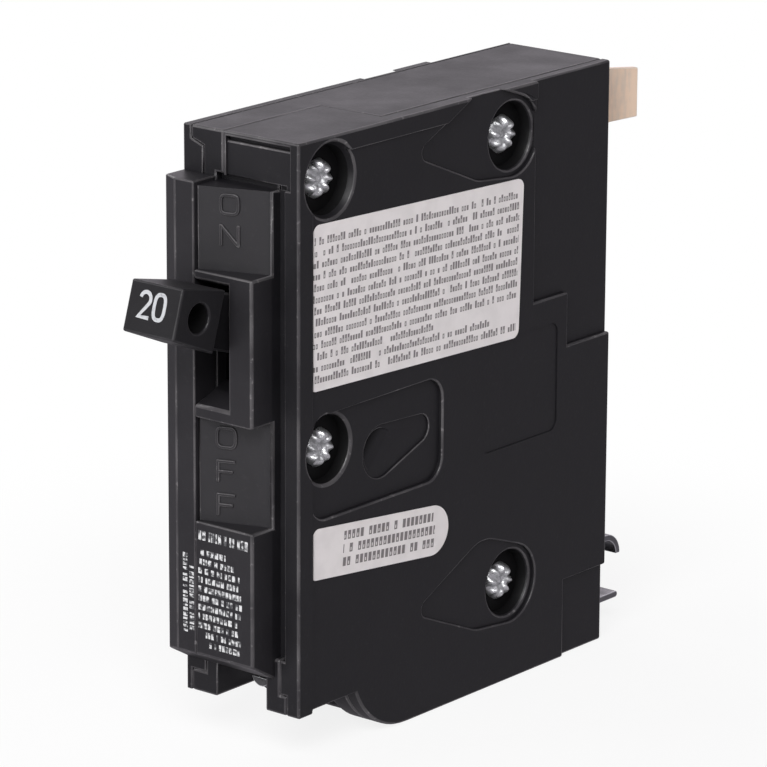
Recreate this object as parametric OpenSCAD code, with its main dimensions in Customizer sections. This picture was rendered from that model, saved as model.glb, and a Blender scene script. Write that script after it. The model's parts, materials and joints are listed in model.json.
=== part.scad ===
// Single-pole plug-on miniature circuit breaker with a three-piece moulded case.
// X runs across the pole, Y from the front with the handle to the back with the jaw, Z up.
// Shapes are drawn with Y counted from the case's front plane and then moved to the frame.

/* [Case] */
// Width of the case, one pole pitch
case_w = 19.05; // [18.5:0.05:20.5]
// Depth of the case from its front plane to its back
case_d = 65.5; // [64:0.5:70]
// Height of the case from its bottom face to its top
case_h = 81; // [80:0.5:86]
// Thickness of the moulded outer walls
wall = 2.2; // [2:0.1:2.5]
// Thickness of the left cover plate
left_t = 3.3; // [3.1:0.05:3.5]
// Thickness of the right cover plate
right_t = 2.375; // [2.2:0.025:2.6]
// Height of the two front feet above the base line
foot_z = 5.75; // [5.5:0.05:6]
// Depth of the right foot's pad
foot_d = 2.7; // [2:0.1:4]
// Height of the case's edge behind the foot pads
step_z = 6.25; // [6.1:0.05:6.6]
// Radius of the round nose of the skirts beside the wire
skirt_r = 11; // [10:0.5:13]
// Depth at which the skirts' round nose runs into the bottom face
skirt_y = 22; // [21:0.25:23]
// Depth of the bottom face below the base line that heights are counted from
skirt_drop = 0.65; // [0.4:0.05:0.9]

/* [Side relief] */
// Depth of the side panel below the raised front and top borders
panel_cut = 0.3; // [0.2:0.05:0.4]
// Width of the raised front border
border_y = 2.8; // [2:0.1:4]
// Height of the raised top border
border_z = 2.5; // [2:0.1:3.5]
// Depth of the pocket around the lower front rivet
pocket_cut = 0.9; // [0.7:0.05:1.1]
// Depth of the pointed pockets around the back rivets
eye_cut = 0.8; // [0.6:0.05:1]
// Half height of the pointed pockets
eye_r = 6.1; // [5.8:0.1:6.4]
// Depth of the relieved corners at the back
relief_cut = 0.95; // [0.6:0.05:1.05]
// Start of the upper relieved corner, from the front plane
relief_y = 48.6; // [48.4:0.1:49]

/* [Front boss] */
// Projection of the boss in front of the case
boss_p = 4.3; // [3.5:0.1:5]
// Position of the boss's right side
boss_x1 = 5.5; // [5:0.1:6]
// Height of the boss's lower edge
boss_z0 = 12.8; // [12.5:0.1:14]
// Distance of the boss's upper edge below the case's top
boss_drop = 6; // [5.8:0.1:6.6]
// Height of the block around the handle slot
slot_block_h = 19.3; // [18.8:0.1:20.5]
// Height of the lower block
lower_block_h = 17.9; // [16:0.1:20]
// Depth to which the marking ramps fall at their right edge
ramp_fall = 4; // [3:0.1:4.1]

/* [Handle] */
// Depth of the handle's pivot behind the front plane
pivot_y = 6.5; // [6.4:0.05:7]
// Height of the handle's pivot
pivot_z = 54.3; // [53.5:0.1:55]
// Position of the handle's middle across the pole
handle_x = -1.27; // [-1.4:0.01:-1.1]
// Width of the handle's head
head_w = 8.5; // [7.5:0.1:9]
// Distance from the pivot to the handle's end face
tip_r = 22.7; // [21.5:0.1:24]
// Length of the handle's head
head_l = 8.1; // [7:0.1:8.4]
// Height of the handle's end face
tip_h = 6.6; // [6:0.1:7.4]
// Height of the head where it meets the neck
root_h = 8.1; // [7.6:0.1:8.4]
// Width of the neck in the slot
neck_w = 5; // [4.4:0.1:5.2]
// Height of the neck
neck_h = 7.4; // [6.6:0.1:7.6]
// Angle by which the handle stands up when it is on
handle_tilt = 17.5; // [16:0.1:18]
// Radius of the tie hole through the head
tie_r = 1.9; // [1.6:0.05:2.1]
// Radius of the handle's trunnions
trunnion_r = 1.8; // [1.5:0.05:2]

/* [Rivets] */
// Radius of the rivet shank
rivet_r = 1.6; // [1.4:0.05:1.8]
// Radius of the rivet heads
rivet_head_r = 2.65; // [2.4:0.05:2.9]
// Height of the rivet heads
rivet_head_h = 1.3; // [1.1:0.05:1.5]
// Radius of the recess around a rivet head
recess_r = 4.3; // [4:0.05:4.5]
// Depth of the recesses in the right cover
recess_d = 2.6; // [2.4:0.05:2.8]

/* [Contacts] */
// Room for the arc chute between the contact arm's end and the line strap
chute_room = 9; // [8.5:0.25:10]
// Height of the contact arm's blade
arm_h = 4.4; // [4:0.1:4.8]
// Thickness of the contact arm across the pole
arm_t = 3.2; // [2.8:0.1:3.4]
// Radius of the contact buttons
contact_r = 2.2; // [1.8:0.05:2.4]
// Thickness of the contact buttons
contact_t = 1.3; // [1:0.05:1.5]
// Thickness of the copper straps
strap_t = 1.4; // [1.2:0.05:1.5]
// Length of the jaw fingers behind the case
jaw_l = 8.25; // [8:0.25:11]
// Height of the jaw fingers
jaw_h = 8.1; // [7.6:0.1:8.2]
// Thickness of the jaw fingers
jaw_t = 0.9; // [0.8:0.05:1]

/* [Trip unit] */
// Thickness of the bimetal strip
bimetal_t = 0.9; // [0.7:0.05:1.1]
// Width of the bimetal strip
bimetal_w = 6.8; // [6:0.1:7]
// Air gap between the armature and the magnet yoke
air_gap = 1; // [0.9:0.05:1.2]
// Thickness of the armature plate
armature_t = 1.2; // [1:0.05:1.4]
// Radius of the mechanism's pins
pin_r = 1.25; // [1.1:0.05:1.4]

/* [Terminal] */
// Width of the bay between the feet
bay_w = 8.25; // [8:0.05:8.5]
// Radius of the wire hole in the lug
wire_r = 3; // [2.6:0.05:3.05]
// Radius of the clamping screw
screw_r = 1.6; // [1.4:0.05:1.65]
// Length of the clamping screw
screw_l = 6; // [5.5:0.1:6.4]
// Height of the clamping screw's axis
screw_z = 8.6; // [8.5:0.05:8.65]

/* [Rail clip] */
// Width of the spring clip
clip_w = 8.5; // [7:0.1:9]
// Thickness of the spring clip
clip_t = 0.9; // [0.7:0.05:1]
// Height of the clip's upper prong
clip_z = 11.5; // [11.2:0.1:12]
// Length of the clip behind the case
clip_l = 8.4; // [7.5:0.1:9.5]

/* [Labels] */
// Thickness of the label film
label_t = 0.15; // [0.1:0.01:0.2]
// Length of the large label
label_l = 42.75; // [40:0.25:44]
// Height of the large label
label_h = 21.5; // [20:0.25:22]

/* [Hidden] */
$fn = 64;
cut = 0.5;
run_gap = 0.06;
pin_gap = 0.03;
seat_gap = 0.25;

// Seams between the three mouldings
side_x = case_w / 2;
seam_l = -side_x + left_t;
seam_r = side_x - right_t;
lip_x = -side_x + 1.3;
lip_h = 1.8;
lip_z = case_h - lip_h;
lip_drop = 0.7;
foot_lip_x = -side_x + 0.9;
foot_lip_z = 8.75;
foot_lip_d = 10.5;
foot_wall_d = 12.5;
foot_jog_z = 8.4;
foot_jog_x = seam_r + 0.25;
foot_tab_x = seam_r - 0.85;
groove_z = boss_z0 + 0.3;
mech_x = (seam_l + seam_r) / 2;

// Relief on the outer sides as [y, z]: corners, traced plate, pocket, egg with its tipped dish, and eyes
relief_z = 50.9;
shoulder_y = 56.1;
shoulder_z = 43.5;
heel_z = 10.4;
trace_cut = 0.15;
plate_at = [37.5, 32.3];
plate_size = [16.4, 15];
plate_round = 1.5;
pocket_z = 31.2;
pocket_size = [26.5, 13.8];
pocket_round = 3;
egg_at = [17.3, 37.4];
egg_r = [3.55, 1.9];
egg_reach = 8.1;
egg_turn = 9;
dish_r = 3;
dish_tip = 9;
eye_belly = [-5.8, 1.3];
eye_point = [-17.7, 1];
eye_end_r = 5.4;
eye_point_r = 1.2;
mouth_d = 1.6;
mouth_w = 0.8;

// Tongue of the right cover that closes the top of the front
tongue_x = -2.8;
tongue_d = 18.9;
tongue_h = 5.8;
tongue_z = case_h - tongue_h;
edge_w = 0.3;
slit_drop = 1.3;

// Terminal bay, screw and wire lug
bay_shift = 0.6875;
bay_x = mech_x - bay_shift;
bay_top = 13.6;
barrier_y = 20;
lug_y0 = 7.2;
lug_y1 = 18.4;
lug_w = bay_w - 2 * seat_gap;
lug_z0 = 6.2;
wire_y = 14;
pad_t = 1;
pad_r = screw_r - 0.15;
pad_y = wire_y - wire_r - 0.1;
screw_y0 = pad_y - pad_t - screw_l;
strap_y = lug_y1;
load_t = 1.2;
load_w = 5.6;
load_z1 = 23;
floor_z = bay_top + wall;
calibration_r = 1.5;
calibration_z = load_z1 - calibration_r - 1;
calibration_y = 9;
calibration_rib = [11, 14];
slit_w = 0.7;

// Rivet positions as [y, z]
rivet_top = 5.8;
back_rivet_top = 6.6;
RIVETS = [[6.4, case_h - rivet_top], [43.7, case_h - back_rivet_top], [6.7, 40.1], [44.2, 12.9]];
recess_floor = side_x - recess_d;
rivet_boss_r = recess_r + 0.9;
rivet_boss_x = recess_floor - 1.5;
rivet_hole_r = rivet_r + 0.1;
left_recess = 2;
left_floor = -side_x + left_recess;
boss_x0 = -side_x;
pillar_r = 3.6;
web_t = 3;

// Handle and slot
slot_x0 = -4.1;
slot_x1 = handle_x + neck_w / 2 + 0.32;
slot_half = 8.2;
slot_taper = tan(handle_tilt);
slot_rim = 1.7;
slot_block_z0 = pivot_z - slot_half - slot_rim;
slot_block_z1 = slot_block_z0 + slot_block_h;
boss_z1 = case_h - boss_drop;
boss_slant = 2.5;
rib_slope = [2.3, 0.9];
lower_z1 = boss_z0 + lower_block_h;
ramp_z1 = boss_z1 - 0.6;
ramp_start = 0.6;
groove_d = 1.2;
hub_r = pivot_y - wall - 0.4;
bearing_r = trunnion_r + run_gap;
bearing_wall = 1.6;
bearing_boss_r = trunnion_r + bearing_wall;
bearing_l = 1.8;
trunnion_gap = 0.2;
leg_l = 6.6;
leg_turn = 28;
leg_r = 1.5;
leg_x0 = slot_x0 + 1.1;
leg_x1 = leg_x0 + 1.4;
spring_pin_r = 0.7;
spring_pin_end = seam_l + 0.3;
spring_wire = 0.25;
spring_coil_r = 1.2;

// Line terminal from the back wall forwards: riser, arc chute and contacts
riser_back = 6.8;
riser_y = case_d - wall - riser_back;
arm_end = 3;
contact_y = riser_y - chute_room - arm_end;
chute_front = 1.6;
chute_back = 2;
chute_y0 = contact_y + arm_end + chute_front;
chute_y1 = riser_y - chute_back;
chute_n = 5;
chute_step = 3;
chute_plate = 1;
chute_lift = 1;
notch_half = 2.4;
notch_d = 2.6;
sheet_t = 1;
sheet_edge = 0.5;

// Contact arm and its pivot
arm_back = 10.5;
arm_drop = 0.8;
arm_y = pivot_y + arm_back;
arm_z = pivot_z - arm_drop;
arm_l = contact_y - arm_y;
arm_x0 = mech_x - arm_t / 2;
arm_x1 = mech_x + arm_t / 2;
arm_hub_r = 3.4;
contact_gap = 0.1;
arm_under = arm_z - arm_h / 2;
fixed_top = arm_under - contact_t - contact_gap;
strap_top = fixed_top - contact_t;
spring_share = 14 / 27;
spring_y = arm_y + spring_share * arm_l;
arm_boss_x = arm_x1 + seat_gap;

// Jaw, its spring and the shelf under the line strap
jaw_half = 2.15;
jaw_side = 1.15;
jaw_x = seam_r - jaw_half - jaw_side;
jaw_drop = 1.95;
jaw_taper = 0.65;
jaw_z1 = case_h - jaw_drop;
jaw_z0 = jaw_z1 - jaw_h;
jaw_end = case_d + jaw_l;
jaw_spring_t = 0.65;
shelf_t = 2;
shelf_edge = 0.6;
shelf_z = strap_top - strap_t - shelf_t;
shelf_y = contact_y - contact_r - shelf_edge;

// Trip lever, armature, yoke and bimetal
trip_drop = 3.8;
trip_z = arm_under - trip_drop;
bimetal_y = strap_y + load_t;
bimetal_z0 = floor_z + 1.2;
bimetal_z1 = 41;
yoke_t = 1.4;
yoke_z0 = 27;
yoke_h = 10;
yoke_leg = bimetal_w / 2 + 0.6;
yoke_depth = 2.7;
yoke_end = bimetal_y + bimetal_t + yoke_depth;
armature_y = yoke_end + air_gap;
latch_drop = 3.1;
armature_z1 = trip_z - latch_drop;
armature_half = 5.2;
armature_pin_r = 1;
armature_pin_z = 22.5;
armature_pin_y = armature_y + armature_t / 2;
trip_reach = 4.6;
trip_y = armature_y + armature_t + trip_reach;
trip_hub_r = 3;
trip_t = 2;
latch_overlap = 0.3;
latch_gap = 0.45;
nose_t = 1.6;
finger_top = 1.9;
finger_room = 3.7;
finger_l = shelf_y - trip_y - finger_room;
pin_sink = 1;
trip_wire = 0.3;
trip_coil_r = pin_r + 0.9;
trip_leg_z = trip_z - trip_coil_r + trip_wire;
peg_r = 0.8;
peg_l = 2;
peg_reach = 0.8 * finger_l;
lead_r = 0.9;
lead_reach = 5.5;
lead_sag = 1.2;

// Rail clip
clip_shift = 0.7875;
clip_x = mech_x + clip_shift;
clip_back = 4.8;
clip_y0 = case_d - wall - clip_back;
clip_end = case_d + clip_l;
clip_low = wall + 0.6;

// Labels on the side panel
label_x = side_x - panel_cut;
label_y = border_y + 0.35;
label_turn = 2.1;
label_round = 1.2;
label_drop = 11;
large_z = case_h - label_drop;
small_l = 27.85;
small_h = 6.75;
small_z = 30.35;
small_turn = 6;

// Moves the drawing to the frame, whose origin is the middle of the bottom face
module in_frame() { translate([0, -case_d / 2, skirt_drop]) children(); }

// Carries an outline in Y and Z across the pole from x0 to x1
module along_x(x0, x1) {
  translate([x0, 0, 0]) rotate([90, 0, 90]) linear_extrude(x1 - x0) children();
}

// A block given by its limits on the three axes
module block(x, y, z) {
  translate([x[0], y[0], z[0]]) cube([x[1] - x[0], y[1] - y[0], z[1] - z[0]]);
}

// A round rod across the pole
module rod_x(y, z, r, x0, x1) {
  translate([x0, y, z]) rotate([0, 90, 0]) cylinder(h = x1 - x0, r = r);
}

// A round rod from front to back
module rod_y(x, z, r, y0, y1) {
  translate([x, y0, z]) rotate([-90, 0, 0]) cylinder(h = y1 - y0, r = r);
}

// Side outline of the case with a foot pad of depth pad_d and the round skirt nose
module case_outline(pad_d) {
  difference() {
    translate([0, -skirt_drop]) square([case_d, case_h + skirt_drop]);
    difference() {
      translate([-cut, -skirt_drop - cut]) square([skirt_y + cut, step_z + skirt_drop + cut]);
      translate([skirt_y, skirt_r - skirt_drop]) circle(skirt_r, $fn = 128);
    }
  }
  translate([0, foot_z]) square([pad_d, step_z - foot_z + cut]);
}

// Outline of a pointed pocket: a belly that narrows to the rivet at the origin and to a point
module eye_outline() {
  to_point = eye_point - eye_belly;
  translate(eye_belly) {
    egg_outline(eye_r, eye_end_r, norm(eye_belly), atan2(-eye_belly[1], -eye_belly[0]));
    egg_outline(eye_r, eye_point_r, norm(to_point), atan2(to_point[1], to_point[0]));
  }
}

// Egg outline: a large and a small circle with the two tangents between them
module egg_outline(r1, r2, reach, turn) {
  lean = acos((r1 - r2) / reach);
  rotate(turn) {
    circle(r1);
    translate([reach, 0]) circle(r2);
    polygon([r1 * [cos(lean), sin(lean)], r1 * [cos(lean), -sin(lean)],
      [reach, 0] + r2 * [cos(lean), -sin(lean)], [reach, 0] + r2 * [cos(lean), sin(lean)]]);
  }
}

// A rectangle with round corners
module round_square(size, r) {
  translate([r, 0]) square([size[0] - 2 * r, size[1]]);
  translate([0, r]) square([size[0], size[1] - 2 * r]);
  for (y = [r, size[0] - r], z = [r, size[1] - r]) translate([y, z]) circle(r);
}

// What is sunk into the outer side of a cover: drawn for the right side
module side_relief() {
  low = -skirt_drop - cut;
  high = case_h + cut;
  out = side_x + cut;
  along_x(side_x - panel_cut, out)
    translate([border_y, low]) square([case_d, case_h - border_z - low]);
  for (i = [1, 3]) along_x(side_x - eye_cut, out) translate(RIVETS[i]) eye_outline();
  along_x(side_x - relief_cut, out) {
    translate([relief_y, relief_z]) square([case_d, high - relief_z]);
    translate([shoulder_y, shoulder_z]) square([case_d, high - shoulder_z]);
    translate([shoulder_y, low]) square([case_d, heel_z - low]);
  }
  along_x(side_x - panel_cut - trace_cut, out) translate(plate_at) round_square(plate_size, plate_round);
  along_x(side_x - pocket_cut, out) translate([border_y, pocket_z]) round_square(pocket_size, pocket_round);
  along_x(side_x - pocket_cut - panel_cut, out)
    translate(egg_at) egg_outline(egg_r[0], egg_r[1], egg_reach, egg_turn);
  translate([side_x - pocket_cut - panel_cut, egg_at[0], egg_at[1]]) rotate(-dish_tip, [0, 1, 1])
    along_x(0, pocket_cut) circle(dish_r);
}

// A rivet recess with its bevelled mouth
module rivet_recess(at, floor_x) {
  rod_x(at[0], at[1], recess_r, floor_x, side_x + cut);
  translate([side_x - mouth_d, at[0], at[1]]) rotate([0, 90, 0])
    cylinder(h = mouth_d + cut, r1 = recess_r, r2 = recess_r + mouth_w * (mouth_d + cut) / mouth_d);
}

// Holes in a cover that hold the mechanism's pins, as deep as pin_sink
module pin_holes(x0, x1) {
  rod_x(trip_y, trip_z, pin_r + pin_gap, x0, x1);
  rod_x(armature_pin_y, armature_pin_z, armature_pin_r + pin_gap, x0, x1);
}

// Lips of the centre housing that lap the left cover at the top and at the foot
module left_lips() {
  root_x = seam_l + cut;
  top_lip = [[lip_x, case_h], [lip_x, lip_z], [seam_l, lip_z - lip_drop], [root_x, lip_z - lip_drop],
    [root_x, case_h]];
  translate([0, case_d, 0]) rotate([90, 0, 0]) linear_extrude(case_d) polygon(top_lip);
  block([foot_lip_x, root_x], [0, foot_lip_d], [foot_z, foot_lip_z]);
}

// Slanted profile of the boss seen from the side
module boss_profile(z1) {
  polygon([[cut, boss_z0 - boss_slant], [0, boss_z0 - boss_slant], [-boss_p, boss_z0], [-boss_p, z1], [cut, z1]]);
}

module left_cover() {
  color([0.09, 0.09, 0.10]) in_frame() difference() {
    union() {
      along_x(-side_x, seam_l) case_outline(foot_wall_d);
      left_rib();
      rod_x(pivot_y, pivot_z, bearing_boss_r, seam_l - cut, seam_l + bearing_l);
    }
    left_lips();
    mirror([1, 0, 0]) side_relief();
    mirror([1, 0, 0]) for (at = RIVETS) rivet_recess(at, side_x - left_recess);
    for (at = RIVETS) rod_x(at[0], at[1], rivet_hole_r, -side_x - cut, seam_l + cut);
    rod_x(pivot_y, pivot_z, bearing_r, seam_l - cut, seam_l + bearing_l + cut);
    pin_holes(seam_l - pin_sink - pin_gap, seam_l + cut);
  }
}

// Rib of the left cover that makes the boss's left edge, sloped at its outer corner
module left_rib() {
  below = boss_slant + 0.5;
  intersection() {
    translate([0, 0, boss_z0 - below]) linear_extrude(boss_z1 - boss_z0 + below)
      polygon([[boss_x0, cut], [boss_x0, rib_slope[1] - boss_p], [boss_x0 + rib_slope[0], -boss_p],
        [slot_x0, -boss_p], [slot_x0, 0], [seam_l, 0], [seam_l, cut]]);
    along_x(boss_x0 - 1, slot_x0) boss_profile(boss_z1);
  }
}

module centre_housing() {
  color([0.10, 0.10, 0.11]) in_frame() difference() {
    union() {
      difference() {
        along_x(seam_l, seam_r) case_outline(foot_d);
        along_x(seam_l - cut, seam_r + cut) housing_cavity();
      }
      for (at = RIVETS) rod_x(at[0], at[1], pillar_r, seam_l, rivet_boss_x);
      pillar_webs();
      block([seam_l, seam_r], [shelf_y, case_d - cut], [shelf_z, shelf_z + shelf_t]);
      left_lips();
      block([seam_l, bay_x], [0, foot_wall_d], [foot_z, step_z + cut]);
      block([seam_r - cut, foot_jog_x], [0, foot_d], [foot_z, foot_jog_z]);
      front_boss();
      block([seam_l, seam_r], calibration_rib, [floor_z - cut, load_z1]);
    }
    handle_slot();
    terminal_bay();
    block([boss_x1, seam_r + cut], [-cut, groove_d], [groove_z, boss_z1 + 0.4]);
    block([foot_tab_x, seam_r + cut], [-cut, foot_d], [foot_jog_z, groove_z]);
    block([slot_x0, seam_r + cut], [-cut, groove_d], [ramp_z1, boss_z1 + 0.4]);
    block([tongue_x, seam_r + cut], [-cut, tongue_d], [tongue_z, case_h + cut]);
    for (at = RIVETS) {
      rod_x(at[0], at[1], rivet_hole_r, seam_l - cut, seam_r + cut);
      rod_x(at[0], at[1], rivet_boss_r + pin_gap, rivet_boss_x, seam_r + cut);
    }
    rod_y(mech_x, calibration_z, calibration_r + pin_gap, calibration_rib[0] - cut, calibration_rib[1] + cut);
    back_slots();
  }
}

// Slots in the back wall for the jaw and for the two prongs of the clip
module back_slots() {
  y = [case_d - wall - cut, case_d + cut];
  jaw_room = jaw_half + 2 * seat_gap;
  clip_room = clip_w / 2 + seat_gap;
  block([jaw_x - jaw_room, jaw_x + jaw_room], [riser_y - 2 * seat_gap, case_d + cut],
    [jaw_z0 - 2 * seat_gap, jaw_z1 + seat_gap]);
  for (z = [[clip_z - seat_gap, clip_z + clip_t + seat_gap], [clip_low - seat_gap, clip_low + clip_t + seat_gap]])
    block([clip_x - clip_room, clip_x + clip_room], y, z);
}

// Webs that tie the pillars to the top, to the front wall and to the floor
module pillar_webs() {
  x = [seam_l, rivet_boss_x];
  front = RIVETS[2];
  low = RIVETS[3];
  block(x, [wall - cut, front[0]], [front[1] - web_t / 2, front[1] + web_t / 2]);
  block(x, [low[0] - web_t / 2, low[0] + web_t / 2], [wall - cut, low[1]]);
  for (i = [0, 1])
    block(x, [RIVETS[i][0] - web_t / 2, RIVETS[i][0] + web_t / 2], [RIVETS[i][1], case_h - wall + cut]);
}

// Space for the mechanism, seen from the side
module housing_cavity() {
  difference() {
    translate([wall, floor_z]) square([case_d - 2 * wall, case_h - wall - floor_z]);
    translate([0, tongue_z - wall]) square([tongue_d + wall, case_h]);
  }
  translate([barrier_y + wall, wall]) square([case_d - 2 * wall - barrier_y, floor_z]);
}

// Blocks and marking ramps of the boss right of the rib
module front_boss() {
  along_x(slot_x0, boss_x1) boss_profile(lower_z1);
  block([slot_x0, boss_x1], [-boss_p, cut], [slot_block_z0, slot_block_z1]);
  for (z = [[lower_z1, slot_block_z0], [slot_block_z1, ramp_z1]])
    translate([0, 0, z[0] - 0.01]) linear_extrude(z[1] - z[0] + 0.02)
      polygon([[slot_x0, cut], [slot_x0, ramp_start - boss_p], [boss_x1, ramp_fall - boss_p], [boss_x1, cut]]);
}

// Slot for the handle's neck, narrowing towards the pivot
module handle_slot() {
  front = -boss_p - cut;
  back = wall + cut;
  fall = slot_taper * (back - front);
  half = slot_half + slot_taper * cut;
  along_x(slot_x0, slot_x1) translate([0, pivot_z])
    polygon([[front, -half], [back, fall - half], [back, half - fall], [front, half]]);
}

// Bay for the wire lug, open in front between the feet and below, with the strap's slot
module terminal_bay() {
  x = [bay_x - bay_w / 2, bay_x + bay_w / 2];
  low = -skirt_drop - cut;
  block(x, [-boss_p - cut, wall + cut], [low, boss_z0 - boss_slant]);
  block(x, [wall, barrier_y], [low, bay_top]);
  strap_room = load_w / 2 + seat_gap;
  block([bay_x - strap_room, bay_x + strap_room], [strap_y - seat_gap, bimetal_y + seat_gap],
    [bay_top - cut, floor_z + cut]);
}

module right_cover() {
  color([0.09, 0.09, 0.10]) in_frame() difference() {
    union() {
      along_x(seam_r, side_x) case_outline(foot_d);
      block([tongue_x, seam_r + cut], [0, tongue_d], [tongue_z, case_h]);
      block([foot_tab_x, seam_r + cut], [0, foot_d], [foot_jog_z, groove_z]);
      for (at = RIVETS) rod_x(at[0], at[1], rivet_boss_r, rivet_boss_x, seam_r + cut);
      rod_x(pivot_y, pivot_z, bearing_boss_r, seam_r - bearing_l, seam_r + cut);
      rod_x(arm_y, arm_z, pin_r + bearing_wall, arm_boss_x, seam_r + cut);
      rod_x(trip_y + peg_reach, trip_leg_z - trip_wire - peg_r, peg_r, seam_r - peg_l, seam_r + cut);
    }
    block([seam_r - cut, foot_jog_x], [-cut, foot_d], [foot_z - cut, foot_jog_z]);
    side_relief();
    for (at = RIVETS) {
      rivet_recess(at, recess_floor);
      rod_x(at[0], at[1], rivet_hole_r, tongue_x - cut, side_x);
    }
    front_panel_marks();
    rod_x(pivot_y, pivot_z, bearing_r, seam_r - bearing_l - cut, seam_r + cut);
    rod_x(arm_y, arm_z, pin_r + pin_gap, arm_boss_x - cut, seam_r + cut);
    pin_holes(seam_r - cut, seam_r + pin_sink + pin_gap);
  }
}

// Sunk front panel of the tongue, with the slit under the top edge
module front_panel_marks() {
  x = [tongue_x + edge_w, seam_r + 3 * edge_w];
  slit_z = case_h - slit_drop;
  block(x, [-cut, 0.4], [tongue_z - cut, slit_z]);
  block(x, [-cut, 1], [slit_z, slit_z + 2 * edge_w]);
}

module handle() {
  color([0.07, 0.07, 0.08]) in_frame() translate([0, pivot_y, pivot_z]) rotate([-handle_tilt, 0, 0]) {
    difference() {
      along_x(handle_x - head_w / 2, handle_x + head_w / 2)
        polygon([[-tip_r, -tip_h / 2], [head_l - tip_r, -root_h / 2], [head_l - tip_r, root_h / 2],
          [-tip_r, tip_h / 2]]);
      rod_x(head_l / 2 - tip_r, 0, tie_r, handle_x - head_w, handle_x + head_w);
    }
    along_x(handle_x - neck_w / 2, handle_x + neck_w / 2) {
      translate([head_l - tip_r - 0.01, -neck_h / 2]) square([tip_r - head_l, neck_h]);
      circle(hub_r);
    }
    along_x(leg_x0, leg_x1) rotate(-leg_turn) {
      translate([0, -leg_r]) square([leg_l, 2 * leg_r]);
      translate([leg_l, 0]) circle(leg_r);
    }
    rotate([-leg_turn, 0, 0]) rod_x(leg_l, 0, spring_pin_r, spring_pin_end, leg_x1);
    rod_x(0, 0, trunnion_r, seam_l - cut + trunnion_gap, seam_r + cut - trunnion_gap);
  }
}

module contact_arm() {
  color([0.72, 0.42, 0.28]) in_frame() difference() {
    union() {
      rod_x(arm_y, arm_z, arm_hub_r, arm_x0, arm_x1);
      block([arm_x0, arm_x1], [arm_y, contact_y + arm_end], [arm_under, arm_z + arm_h / 2]);
      rod_x(spring_y, arm_z, spring_pin_r, spring_pin_end, arm_x1);
    }
    rod_x(arm_y, arm_z, pin_r + run_gap, arm_x0 - cut, arm_x1 + cut);
  }
}

module moving_contact() {
  color([0.82, 0.82, 0.84]) in_frame()
    translate([mech_x, contact_y, arm_under - contact_t]) cylinder(h = contact_t, r = contact_r * 0.72);
}

module arm_pin() {
  color([0.75, 0.75, 0.77]) in_frame() {
    rod_x(arm_y, arm_z, pin_r, arm_x0 - 0.2, seam_r + cut);
    rod_x(arm_y, arm_z, pin_r + 0.8, arm_x0 - 0.8, arm_x0 - 0.2);
  }
}

module fixed_contact() {
  color([0.82, 0.82, 0.84]) in_frame()
    translate([mech_x, contact_y, strap_top]) cylinder(h = contact_t, r = contact_r);
}

// One jaw finger: a thin wall that runs straight, closes to a throat and flares, seen from above,
// and tapers towards its end, seen from the side
module jaw_finger() {
  throat = 0.9;
  flare = 2.4;
  bend = case_d + 0.5 * jaw_l;
  over = jaw_taper * (1 + cut / jaw_l);
  path = [[jaw_half, riser_y], [jaw_half, case_d], [throat + jaw_t, bend], [flare + jaw_t, jaw_end]];
  intersection() {
    translate([0, 0, -cut]) linear_extrude(jaw_h + 2 * cut)
      polygon(concat(path, [for (i = [3:-1:0]) path[i] - [jaw_t, 0]]));
    along_x(0, flare + jaw_t + cut) polygon([[riser_y - cut, 0], [case_d, 0], [jaw_end + cut, over],
      [jaw_end + cut, jaw_h - over], [case_d, jaw_h], [riser_y - cut, jaw_h]]);
  }
}

module line_terminal() {
  color([0.80, 0.55, 0.38]) in_frame() {
    block([mech_x - contact_r - 0.4, jaw_x + jaw_half], [shelf_y, riser_y + strap_t],
      [strap_top - strap_t, strap_top]);
    block([jaw_x - jaw_half, jaw_x + jaw_half], [riser_y, riser_y + strap_t], [strap_top - strap_t, jaw_z1]);
    for (side = [0, 1]) translate([jaw_x, 0, jaw_z0]) mirror([side, 0, 0]) jaw_finger();
  }
}

// Steel clip that presses the jaw's fingers together from outside
module jaw_spring() {
  x0 = jaw_x - jaw_half - jaw_spring_t;
  x1 = jaw_x + jaw_half + jaw_spring_t;
  z = [jaw_z0 + 1, jaw_z1 - 1];
  y1 = case_d - wall - 0.4;
  color([0.70, 0.71, 0.73]) in_frame() {
    block([x0, x1], [riser_y - jaw_spring_t, riser_y], z);
    block([x0, x0 + jaw_spring_t], [riser_y - jaw_spring_t, y1], z);
    block([x1 - jaw_spring_t, x1], [riser_y - jaw_spring_t, y1], z);
  }
}

module arc_plates() {
  x0 = seam_l + sheet_t;
  color([0.55, 0.56, 0.58]) in_frame() for (i = [0:chute_n - 1])
    translate([0, 0, fixed_top + chute_lift + i * chute_step]) linear_extrude(chute_plate) difference() {
      translate([x0, chute_y0]) square([seam_r - sheet_t - x0, chute_y1 - chute_y0]);
      polygon([[mech_x - notch_half, chute_y0 - cut], [mech_x, chute_y0 + notch_d],
        [mech_x + notch_half, chute_y0 - cut]]);
    }
}

module arc_side_sheets() {
  z = [fixed_top - sheet_edge, fixed_top + chute_n * chute_step + chute_lift + 3 * sheet_edge];
  color([0.62, 0.45, 0.35]) in_frame() for (x = [seam_l, seam_r - sheet_t])
    block([x, x + sheet_t], [chute_y0 - sheet_edge, chute_y1 + sheet_edge], z);
}

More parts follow.
